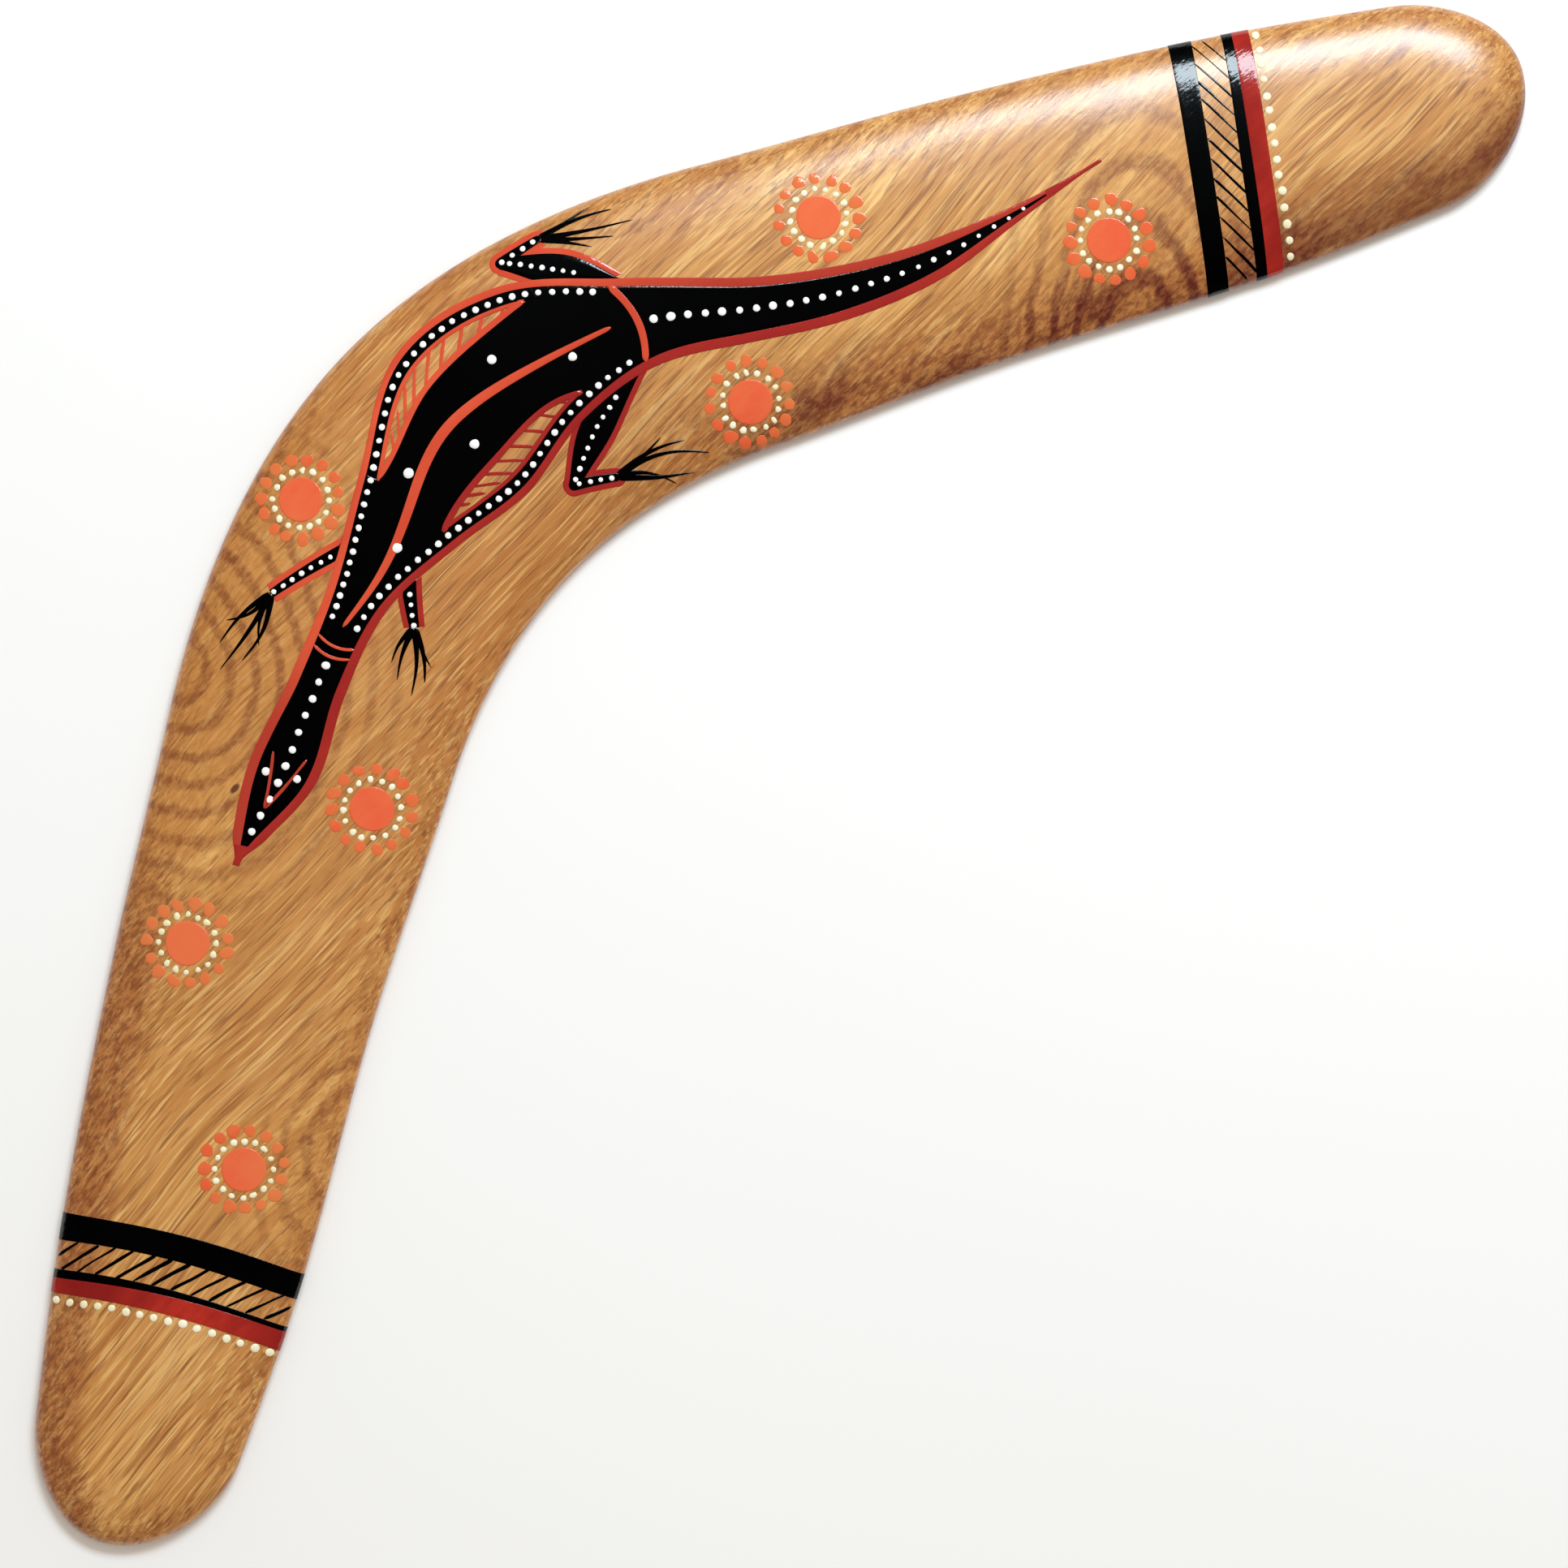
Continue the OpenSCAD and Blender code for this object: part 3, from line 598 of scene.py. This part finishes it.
def pores_and_knot(m, base, obj, grain):
    """Short dark dashes along the grain, and one small dark knot on the left arm."""
    pores = m.noise((120, 2300, 2300), 1.0, 0.4, grain, (2, 8, 4))
    dash = m.ramp(pores, (0.60, 0.0), (0.66, 1.0))
    base = m.mix(m.math("MULTIPLY", dash, 0.40), base, srgb(122, 58, 22))
    knot = place(KNOT_S, KNOT_U) * MM
    from_knot = m.vector("MULTIPLY", m.vector("SUBTRACT", obj, (*knot, 0)), (0.7, 1.3, 0))
    spot = m.math("MULTIPLY", m.vector("LENGTH", from_knot, (0, 0, 0)), 1 / MM)
    return m.mix(m.ramp(spot, (0.6, 0.9), (1.0, 0.0)), base, srgb(92, 30, 18))


def wood_material():
    m = Nodes("lacquered_wood")
    obj = m.new("ShaderNodeTexCoord").outputs["Object"]
    normal = m.new("ShaderNodeTexCoord").outputs["Normal"]
    where = m.new("ShaderNodeSeparateXYZ")
    m.link(obj, where.inputs[0])
    across = where.outputs[0]
    grain = wandering_grain(m, obj)
    lines, figured = growth_lines(m, obj, grain)
    streak = m.noise((22, 640, 640), 5.0, 0.66, grain)
    dark = m.noise((44, 1500, 1500), 2.0, 0.5, grain, (3, 1, 2))
    light = m.noise((50, 1700, 1700), 2.0, 0.5, grain, (8, 6, 1))
    speck = m.ramp(m.noise((420, 1000, 1000), 3.0, 0.65, grain, (5, 5, 2)), (0.44, 0.0), (0.60, 1.0))
    base = ground_tones(m, grain, streak, across, figured)
    base = fibres_and_lines(m, base, dark, light, speck, lines, figured)
    base = margins(m, base, grain, normal, across, speck, lines)
    base = pores_and_knot(m, base, obj, grain)
    m.link(base, m.shader.inputs["Base Color"])
    rough = m.math("ADD", m.math("MULTIPLY", streak, 0.2), 0.34)
    m.link(rough, m.shader.inputs["Roughness"])
    m.link(m.bump(m.math("SUBTRACT", light, dark), 0.25, 0.00003), m.shader.inputs["Normal"])
    m.lacquer(0.22, 0.5)
    return m.material


def paint_material(name, colour, shade, patchy=0.5, far_colour=None):
    """Brushed acrylic under lacquer, with an uneven colour; far_colour is its colour on the arms."""
    m = Nodes(name)
    thin = m.noise((160, 420, 420), 4.0, 0.6)
    cloud = m.noise((45, 45, 45), 3.0, 0.5, None, (4, 4, 4))
    base = m.mix(m.ramp(cloud, (0.35, patchy), (0.62, 0.0)), colour, shade)
    base = m.mix(m.math("MULTIPLY", m.ramp(thin, (0.35, 1.0), (0.6, 0.0)), patchy * 0.5), base, shade)
    if far_colour:
        where = m.new("ShaderNodeSeparateXYZ")
        m.link(m.new("ShaderNodeTexCoord").outputs["Object"], where.inputs[0])
        base = m.mix(m.ramp(m.math("ABSOLUTE", where.outputs[0]), (0.042, 0.0), (0.060, 0.9)), base, far_colour)
    m.link(base, m.shader.inputs["Base Color"])
    m.link(m.math("ADD", m.math("MULTIPLY", thin, 0.25), 0.30), m.shader.inputs["Roughness"])
    m.link(m.bump(thin, 0.3, 0.00006), m.shader.inputs["Normal"])
    m.shader.inputs["Specular IOR Level"].default_value = 0.02
    m.lacquer(0.11, 0.9)
    return m.material


WOOD = wood_material()
BLACK = paint_material("black_paint", srgb(1, 1, 1), srgb(5, 4, 4), patchy=0.35)
RED = paint_material("red_paint", srgb(184, 48, 36), srgb(134, 28, 26), patchy=0.9)
BRIGHT = paint_material("bright_line_paint", srgb(220, 88, 58), srgb(202, 70, 48), 0.8, srgb(172, 54, 42))
DEEP = paint_material("deep_line_paint", srgb(170, 46, 38), srgb(150, 34, 34), patchy=0.8)
ORANGE = paint_material("orange_paint", srgb(230, 92, 60), srgb(230, 116, 72), patchy=0.8)
THIN_ORANGE = paint_material("thin_orange_paint", srgb(226, 96, 58), srgb(222, 124, 70), patchy=0.9)
CREAM = paint_material("cream_paint", srgb(250, 245, 220), srgb(230, 218, 168), patchy=0.6)
WHITE = paint_material("white_paint", srgb(252, 252, 250), srgb(226, 230, 232), patchy=0.4)


# ---- The board ----
def ring_line(rho, inset, arm_steps, tip_steps):
    """s and u of one closed line round the board."""
    s = np.linspace(-ARM_FLAT, ARM_FLAT, arm_steps + 1)

    def tip(angles, end):
        t = (rho - inset / TIP_LEN) * np.cos(angles)
        ts = end * (ARM_FLAT + TIP_LEN * t)
        tu = (rho * half_width(ts, angles) - inset) * np.sin(angles) + TIP_LEAN * t * t
        return np.stack([ts, tu], -1)

    down = np.linspace(math.pi / 2, -math.pi / 2, tip_steps + 1)[1:-1]
    return np.concatenate([
        np.stack([s, rho * half_width(s, 1) - inset], -1),
        tip(down, 1),
        np.stack([s[::-1], inset - rho * half_width(s[::-1], -1)], -1),
        tip(-down, -1),
    ])


def board():
    arm_steps, tip_steps, rings, edge_steps = 280, 40, 34, 8
    rows = []
    for k in range(1, rings + 1):
        rho = 1 - (1 - k / rings) ** 1.8
        su = ring_line(rho, 0.0, arm_steps, tip_steps)
        xy = place(su[:, 0], su[:, 1])
        rows.append(np.column_stack([xy, top_z(su[:, 0], rho, xy[:, 0], xy[:, 1])]))
    for k in range(1, edge_steps + 1):
        a = math.pi / 2 * k / edge_steps
        su = ring_line(1.0, EDGE_R * (1 - math.cos(a)), arm_steps, tip_steps)
        xy = place(su[:, 0], su[:, 1])
        rows.append(np.column_stack([xy, np.full(len(xy), EDGE_R * (1 - math.sin(a)))]))
    n = len(rows[0])
    faces = []
    for r in range(len(rows) - 1):
        for i in range(n):
            a, b = r * n + i, r * n + (i + 1) % n
            faces.append((a, a + n, b + n, b))
    right, left = arm_steps, 2 * arm_steps + tip_steps

    def lid(first, up):
        quads = [(i, i + 1, left - i - 1, left - i) for i in range(arm_steps)]
        quads += [(right, right + j, right + j + 1) for j in range(1, tip_steps)]
        quads += [(left, left + j, (left + j + 1) % n) for j in range(1, tip_steps)]
        return [tuple(first + v for v in (q[::-1] if up else q)) for q in quads]

    build = Build()
    build.add(np.concatenate(rows), faces + lid(0, False) + lid((len(rows) - 1) * n, True))
    return build.make("board", [WOOD], "lacquered_wood", "blank")


board()


# ---- Bands ----
def band_s(arm, shift, u):
    b = BANDS[arm]
    bow = b["bow"] * (1 - (u / half_width(b["s"], u)) ** 2)
    return arm * (b["s"] + shift - bow) + b["lean"] * u


def around(s, w):
    """Points of the section: w from -2 under the inner edge to 2 under the outer edge."""
    aw = np.abs(w)
    side = np.sign(w)
    rho = np.where(aw < 1, 1 - np.power(np.maximum(1 - aw, 0), 1.8), 1.0)
    angle = np.maximum(aw - 1, 0) * math.pi / 2
    u = side * (rho * half_width(s, side) - EDGE_R * (1 - np.cos(angle)))
    xy = place(s, u)
    z = np.where(aw < 1, top_z(s, rho, xy[..., 0], xy[..., 1]), EDGE_R * (1 - np.sin(angle)))
    return np.concatenate([xy, z[..., None]], -1), u


def band(name, arm, shift, width, material, slot, coat=COAT, shake=0.14):
    """A band of paint over the top and round both edges, shift along the arm from the wide band's middle."""
    last = 1 + math.asin(1 - BAND_FOOT / EDGE_R) / (math.pi / 2)
    w = np.linspace(-last, last, 73)
    _, u = around(np.full_like(w, arm * BANDS[arm]["s"]), w)
    low_edge = band_s(arm, shift - width / 2, u) + wobble(len(w), shake)
    high_edge = band_s(arm, shift + width / 2, u) + wobble(len(w), shake)
    t = stops(width, 0.8)
    s = low_edge[:, None] * (1 - t) + high_edge[:, None] * t
    ww = np.repeat(w[:, None], len(t), 1)
    p, _ = around(s, ww)
    d = 1e-3
    ds = around(s + 0.05, ww)[0] - around(s - 0.05, ww)[0]
    dw = around(s, ww + d)[0] - around(s, ww - d)[0]
    n = np.cross(ds, dw)
    n /= np.linalg.norm(n, axis=-1, keepdims=True)
    edge = np.minimum(t, 1 - t)[None, :] * width
    h = coat * round_over(edge) * round_over((last - np.abs(w)) * 3, 0.25)[:, None]
    low, high = p - n * SINK, p + n * h[..., None]
    if arm > 0:
        low, high = low[:, ::-1], high[:, ::-1]
    build = Build()
    shell(build, low, high)
    return build.make(name + "_paint", [material], slot, name)


def hatching(arm, name, shift):
    b = BANDS[arm]
    build = Build()
    half = float(half_width(BANDS[1]["s"], 1))
    for k in range(HATCH_N):
        u = half * (2 * (k + 0.5) / HATCH_N - 1) + rng.normal(0, 0.15)
        along = np.linspace(-HATCH_OVER, HATCH_OVER, 30) * HATCH_W
        u = u + along * b["slant"]
        s = band_s(arm, shift + along, u)
        on_wood = reach(s, u) < HATCH_REACH
        if on_wood.sum() > 3:
            line = place(s[on_wood], u[on_wood])
            stroke(build, line, b["line"] / 2 * rng.uniform(0.85, 1.15), coat=COAT, shake=0.05)
    build.make(f"{name}_paint", [BLACK], "black_paint", name)


def dot_row(arm, name, shift):
    n = BANDS[arm]["dots"]
    build = Build()
    for k in range(n):
        v = 2 * (k + 0.5) / n - 1
        u = v * ROW_REACH * float(half_width(float(band_s(arm, shift, 0)), v))
        dot(build, band_s(arm, shift, u), u, ROW_DOT_R)
    build.make(f"{name}_paint", [CREAM], "cream_paint", name)


def arm_bands(arm, side):
    wide, thin = BANDS[arm]["wide"], BANDS[arm]["thin"]
    hatch_shift = wide / 2 + HATCH_W / 2
    thin_shift = wide / 2 + HATCH_W + thin / 2
    red_shift = thin_shift + thin / 2 + RED_W / 2
    row_shift = red_shift + RED_W / 2 + ROW_DOT_R + ROW_GAP
    band(f"{side}_wide_band", arm, 0, wide, BLACK, "black_paint")
    band(f"{side}_thin_band", arm, thin_shift, thin, BLACK, "black_paint")
    band(f"{side}_red_band", arm, red_shift - OVERLAP / 2, RED_W + OVERLAP, RED, "red_paint", RED_COAT)
    hatching(arm, f"{side}_hatching", hatch_shift)
    dot_row(arm, f"{side}_dot_row", row_shift)


arm_bands(1, "right")
arm_bands(-1, "left")


# ---- Rosettes ----
def dot_ring(name, centre, n, ring_r, r, tall, material, slot):
    build = Build()
    start = rng.uniform(0, ANY_ANGLE)
    for k in range(n):
        a = start + 2 * math.pi * k / n + rng.normal(0, 0.02)
        xy = centre + (ring_r + rng.normal(0, 0.12)) * np.array([math.cos(a), math.sin(a)])
        size = r * rng.uniform(0.86, 1.14)
        blob(build, xy, size, tall * size, uneven=0.16, around=16, rings=5)
    build.make(f"{name}_paint", [material], slot, name)


def rosette(i):
    low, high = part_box(f"rosette_{i}_disc")
    centre = np.array([(low[0] + high[0]) / 2, (low[1] + high[1]) / 2]) / MM
    build = Build()
    blob(build, centre, DISC_R, DISC_COAT, uneven=0.03, flat=0.3, around=48, rings=14)
    build.make(f"rosette_{i}_disc_paint", [ORANGE], "orange_paint", f"rosette_{i}_disc")
    dot_ring(
        f"rosette_{i}_cream_dots", centre, CREAM_N, CREAM_RING_R, CREAM_R, CREAM_TALL,
        CREAM, "cream_paint",
    )
    dot_ring(
        f"rosette_{i}_orange_dots", centre, ORANGE_N, ORANGE_RING_R, ORANGE_R, ORANGE_TALL,
        THIN_ORANGE, "orange_paint",
    )


for i in range(1, 8):
    rosette(i)


# ---- Lizard ----
def along_lizard(s):
    return (np.asarray(s, float) - NOSE_S) / (TAIL_S - NOSE_S)


def spine(s):
    return curve(SPINE_U, along_lizard(s) * (len(SPINE_U) - 1))


def lizard_half(s):
    return np.maximum(curve(LIZARD_W, along_lizard(s) * (len(LIZARD_W) - 1)), 0.15)


def line_at(s):
    ends = np.minimum(np.maximum((s - NOSE_S) / NOSE_TAPER, NOSE_BLUNT), (TAIL_S - s) / TAIL_TAPER)
    fine = 1 - FINE_BY * np.maximum(1 - (s / FINE_HALF) ** 2, 0)
    return LINE_W * fine * np.clip(ends, 0.12, 1)


def on_lizard(s, b):
    return place(s, spine(s) + b)


def panel_out(s):
    return lizard_half(s) - PANEL_MARGIN


def panel_in(s):
    return panel_out(s) - PANEL_W * np.maximum(1 - ((s - PANEL_S) / PANEL_HALF) ** 2, 0)


def lizard_dot(build, s, b, r):
    dot(build, s, float(spine(s)) + b, r, lift=COAT - 0.03, shift=0.05)


def lizard_body():
    """The black stops at the bare panels, and a strip along each flank closes it outside them."""
    build = Build()
    s = np.linspace(BLACK_FROM, BLACK_TO, 400)
    core = np.where(np.abs(s - PANEL_S) < PANEL_HALF, panel_in(s), lizard_half(s))
    strip(build, on_lizard(s, core), on_lizard(s, -core), step=0.6)
    s = np.linspace(PANEL_S - PANEL_HALF - 2, PANEL_S + PANEL_HALF + 2, 90)
    for side in (1, -1):
        inner, outer = on_lizard(s, side * panel_out(s)), on_lizard(s, side * lizard_half(s))
        strip(build, inner, outer, ends=(False, False))
    build.make("lizard_body_paint", [BLACK], "black_paint", "lizard_body")


def lizard_outline():
    """The red line, brighter along the outer side, closed to a point at the nose and the tail."""
    build = Build()
    s = np.linspace(BLACK_FROM - 0.2, BLACK_TO + 0.2, 260)
    for kind, side in enumerate((1, -1)):
        build.kind = kind
        inner, outer = lizard_half(s) - 0.15, lizard_half(s) + line_at(s)
        outer = outer + wobble(len(s), 0.05, 40)
        strip(build, on_lizard(s, side * inner), on_lizard(s, side * outer), LINE_COAT, ends=(False, False))
    for tip, (start, end) in enumerate(((NOSE_S, BLACK_FROM), (BLACK_TO, TAIL_S))):
        s = np.linspace(start, end, 20)
        wide = lizard_half(s) + line_at(s)
        strip(build, on_lizard(s, wide), on_lizard(s, -wide), LINE_COAT, step=0.6, ends=(tip == 0, tip == 1))
    build.make("lizard_outline_paint", [BRIGHT, DEEP], "red_paint", "lizard_outline")


def lizard_panel(name, side, colour):
    """Slanted strokes on bare wood, between two lines along the panel's edges."""
    build = Build()
    t = np.linspace(0, 1, 40)
    for k in range(PANEL_N):
        middle = PANEL_S + PANEL_HALF * (2 * (k + 0.5) / PANEL_N - 1)
        s = middle + PANEL_LEAN * (0.5 - t)
        b = panel_out(middle) - PANEL_W * t
        inside = (b >= panel_in(s)) & (b <= panel_out(s) + 0.2)
        if inside.sum() > 4:
            stroke(build, on_lizard(s[inside], side * b[inside]), 0.32, coat=COAT, shake=0.04)
    s = np.linspace(PANEL_S - PANEL_HALF, PANEL_S + PANEL_HALF, 60)
    stroke(build, on_lizard(s, side * (panel_in(s) + 0.2)), 0.6, coat=0.14, lift=0.06)
    stroke(build, on_lizard(s, side * (panel_out(s) - 0.2)), 0.4, coat=0.14, lift=0.06)
    build.make(name + "_paint", [colour], "orange_paint", name)


def lizard_back_stripe():
    build = Build()
    t = np.linspace(0, 1, 90)
    s = COLLAR_S + 3 + (HIP_S - COLLAR_S - 6) * t
    path = on_lizard(s, -1.8 * np.sin(2 * math.pi * 1.5 * t))
    stroke(build, path, 0.4 + 0.6 * np.sin(math.pi * t), coat=FINE_COAT, lift=COAT)
    build.make("lizard_back_stripe_paint", [BRIGHT], "orange_paint", "lizard_back_stripe")


def lizard_rings():
    """Two lines round the neck and one over the hip, with their bulge and half-width, and a V on the head."""
    build = Build()
    v = np.linspace(-1, 1, 24)
    for ring_s, bulge, half in ((COLLAR_S, -1, 0.3), (COLLAR_S - 2.2, -1, 0.3), (HIP_S, 2, 0.7)):
        path = on_lizard(ring_s + bulge * (1 - v * v), float(lizard_half(ring_s)) * v)
        stroke(build, path, half, coat=FINE_COAT, lift=COAT)
    t = np.linspace(0, 1, 20)
    for side in (-1, 1):
        path = on_lizard(CHEVRON_S + 11 * t, side * (0.1 + 3.3 * t))
        stroke(build, path, 0.3, coat=FINE_COAT, lift=COAT)
    build.make("lizard_rings_paint", [BRIGHT], "orange_paint", "lizard_rings")


def lizard_spine_dots():
    """Dots along the head and the tail, two eyes, and large dots on either side of the back."""
    build = Build()
    for k in range(HEAD_DOTS):
        lizard_dot(build, NOSE_S + 7 + (COLLAR_S - NOSE_S - 12) * k / (HEAD_DOTS - 1), 0, WHITE_R * 1.2)
    for side in (-1, 1):
        lizard_dot(build, NOSE_S + 19, side * 3.1, WHITE_R * 1.3)
    for k in range(TAIL_DOTS):
        lizard_dot(build, HIP_S + 5 + 74 * k / (TAIL_DOTS - 1), 0, WHITE_R * (1.4 - 0.8 * k / TAIL_DOTS))
    for k in range(BACK_DOTS):
        s = -20 + 12.5 * k
        aside = -0.27 if k % 2 == 0 else 0.27
        lizard_dot(build, s, aside * float(lizard_half(s)), WHITE_R * 1.6)
    build.make("lizard_spine_dots_paint", [WHITE], "white_paint", "lizard_spine_dots")


def lizard_flank_dots(name, side, n):
    build = Build()
    for k in range(n):
        s = COLLAR_S + 4 + (HIP_S - COLLAR_S - 7) * k / (n - 1)
        lizard_dot(build, s, side * (float(lizard_half(s)) - 1.4), WHITE_R)
    build.make(name + "_paint", [WHITE], "white_paint", name)


lizard_body()
lizard_outline()
lizard_panel("lizard_outer_panel", 1, BRIGHT)
lizard_panel("lizard_inner_panel", -1, DEEP)
lizard_back_stripe()
lizard_rings()
lizard_spine_dots()
lizard_flank_dots("lizard_outer_flank_dots", 1, OUTER_FLANK_N)
lizard_flank_dots("lizard_inner_flank_dots", -1, INNER_FLANK_N)


# ---- Legs: a red shape with a smaller black one over it ----
def leg_coat(build, path, grow, side, coat, lift):
    """Paint over a leg's path of s, u and half-width, stopping at the line round the body."""
    edges = []
    for edge in sides_of(path[:, :2], path[:, 2] + grow):
        s, u = edge[:, 0], edge[:, 1]
        clear = lizard_half(s) + line_at(s) - 0.1
        u = spine(s) + side * np.maximum(side * (u - spine(s)), clear)
        edges.append(place(s, u))
    strip(build, edges[0], edges[1], coat, lift, 0.8, ends=(True, True))


def limb(red, black, joints, side):
    """The leg itself, in a piece above the knee and one below it, with a round dab at knee and ankle."""
    red_coat = COAT * 0.7
    parts = [joints] if len(joints) == 2 else [joints[:3], joints[2:]]
    for part in parts:
        t = np.linspace(0, len(part) - 1, 40)
        path = np.stack([curve(part[:, k], t) for k in range(3)], -1)
        leg_coat(red, path, LEG_LINE_W, side, red_coat, 0.0)
        leg_coat(black, path, 0.0, side, COAT, LEG_LIFT)
    for s, u, half in joints[2:]:
        blob(red, place(s, u), half + LEG_LINE_W, red_coat, uneven=0.02, flat=0.22)
        blob(black, place(s, u), half, COAT, uneven=0.02, lift=LEG_LIFT, flat=0.22)


def toes(build, ankle, foot, spread):
    """Slightly bent, pointed strokes that fan out from the ankle."""
    t = np.linspace(0, 1, 14)
    for k in range(TOE_N):
        aside = k - (TOE_N - 1) / 2
        a = math.radians(spread * aside)
        turned = [foot[0] * math.cos(a) - foot[1] * math.sin(a), foot[0] * math.sin(a) + foot[1] * math.cos(a)]
        far = (1 - 0.2 * abs(aside)) * np.array(turned)
        bend = 0.05 * np.sin(math.pi * t) * rng.normal()
        su = ankle + far * t[:, None] + np.stack([-far[1] * bend, far[0] * bend], -1)
        half = TOE_W * (1.6 - 1.4 * t ** 0.6)
        stroke(build, place(su[:, 0], su[:, 1]), half, coat=FINE_COAT, shake=0.02)


def leg(name, joints, foot, spread, dots, first):
    joints = np.array(joints, float)
    side = 1 if name.endswith("outer") else -1
    red, black = Build(), Build()
    limb(red, black, joints, side)
    ankle = joints[-1, :2]
    toes(black, ankle, np.array(foot, float) - ankle, spread)
    red.make(name + "_leg_edge_paint", [BRIGHT if side > 0 else DEEP], "red_paint", name + "_leg_edge")
    black.make(name + "_leg_paint", [BLACK], "black_paint", name + "_leg")
    build = Build()
    t = first + (0.97 - first) * np.arange(dots) / (dots - 1)
    for s, u, _ in resample(joints, t):
        dot(build, s, u, WHITE_R * 0.85, lift=COAT + 0.02, shift=0.04)
    build.make(name + "_leg_dots_paint", [WHITE], "white_paint", name + "_leg_dots")


for name, values in LEGS.items():
    leg(name, *values)


# ---- Floor, camera and lights ----
FLOOR_HALF = 3.0
# The camera looks straight down, turned so that the arms stand at the angle they are seen at.
ROLL = math.radians(-46.1)
VIEW_W = 0.3019
AIM = Vector((-0.0008, -0.088, cad_box[1][2] - 0.002))
LENS, SENSOR = 100.0, 36.0
UP = Vector((-math.sin(ROLL), math.cos(ROLL), 0))
ACROSS = Vector((math.cos(ROLL), math.sin(ROLL), 0))
WINDOW = (0.78, 0.91, 1.0)
WARM = (1.0, 0.62, 0.30)
ROOM, ROOM_STRENGTH = (1.0, 0.95, 0.88, 1), 0.5


def floor_material():
    m = Nodes("floor")
    tone = m.ramp(m.noise((3, 3, 3), 2.0), (0.3, 0.88), (0.7, 0.90))
    m.link(tone, m.shader.inputs["Base Color"])
    m.shader.inputs["Roughness"].default_value = 0.9
    return m.material


def floor():
    mesh = bpy.data.meshes.new("floor")
    r = FLOOR_HALF
    mesh.from_pydata([(-r, -r, 0), (r, -r, 0), (r, r, 0), (-r, r, 0)], [], [(0, 1, 2, 3)])
    mesh.materials.append(floor_material())
    obj = bpy.data.objects.new("floor", mesh)
    bpy.context.scene.collection.objects.link(obj)


def camera():
    obj = bpy.data.objects.new("camera", bpy.data.cameras.new("camera"))
    obj.data.lens = LENS
    obj.data.sensor_width = SENSOR
    obj.location = AIM + Vector((0, 0, VIEW_W * LENS / SENSOR))
    obj.rotation_euler = (0, 0, ROLL)
    bpy.context.scene.collection.objects.link(obj)
    bpy.context.scene.camera = obj


def area(name, toward, tilt, distance, width, depth, radiance, colour, in_gloss=True):
    """A softbox tilt degrees off the vertical, toward a level direction; radiance is its brightness."""
    toward = toward.normalized()
    tilt = math.radians(tilt)
    back = (toward * math.sin(tilt) + Vector((0, 0, math.cos(tilt)))).normalized()
    side = Vector((0, 0, 1)).cross(back).normalized()
    light = bpy.data.lights.new(name, "AREA")
    light.shape = "RECTANGLE"
    light.size, light.size_y = width, depth
    light.energy = radiance * math.pi * width * depth
    light.color = colour
    obj = bpy.data.objects.new(name, light)
    turn = Matrix((side, back.cross(side), back)).transposed()
    obj.matrix_world = Matrix.Translation(AIM + back * distance) @ turn.to_4x4()
    obj.visible_glossy = in_gloss
    bpy.context.scene.collection.objects.link(obj)


def room():
    """A pale room all round, which the gloss doesn't mirror, so that the black paint stays black."""
    world = bpy.data.worlds.new("world")
    world.use_nodes = True
    background = world.node_tree.nodes["Background"]
    background.inputs["Color"].default_value = ROOM
    background.inputs["Strength"].default_value = ROOM_STRENGTH
    world.cycles_visibility.glossy = False
    bpy.context.scene.world = world


floor()
camera()
area("key", UP + ACROSS * 0.36, tilt=42, distance=1.2, width=0.72, depth=0.31, radiance=18.5, colour=WINDOW)
area(
    "fill_top", UP + ACROSS * 0.3, tilt=14, distance=2.2, width=2.0, depth=2.0, radiance=0.6, colour=WARM,
    in_gloss=False,
)
room()
bpy.context.scene.view_settings.view_transform = "Standard"
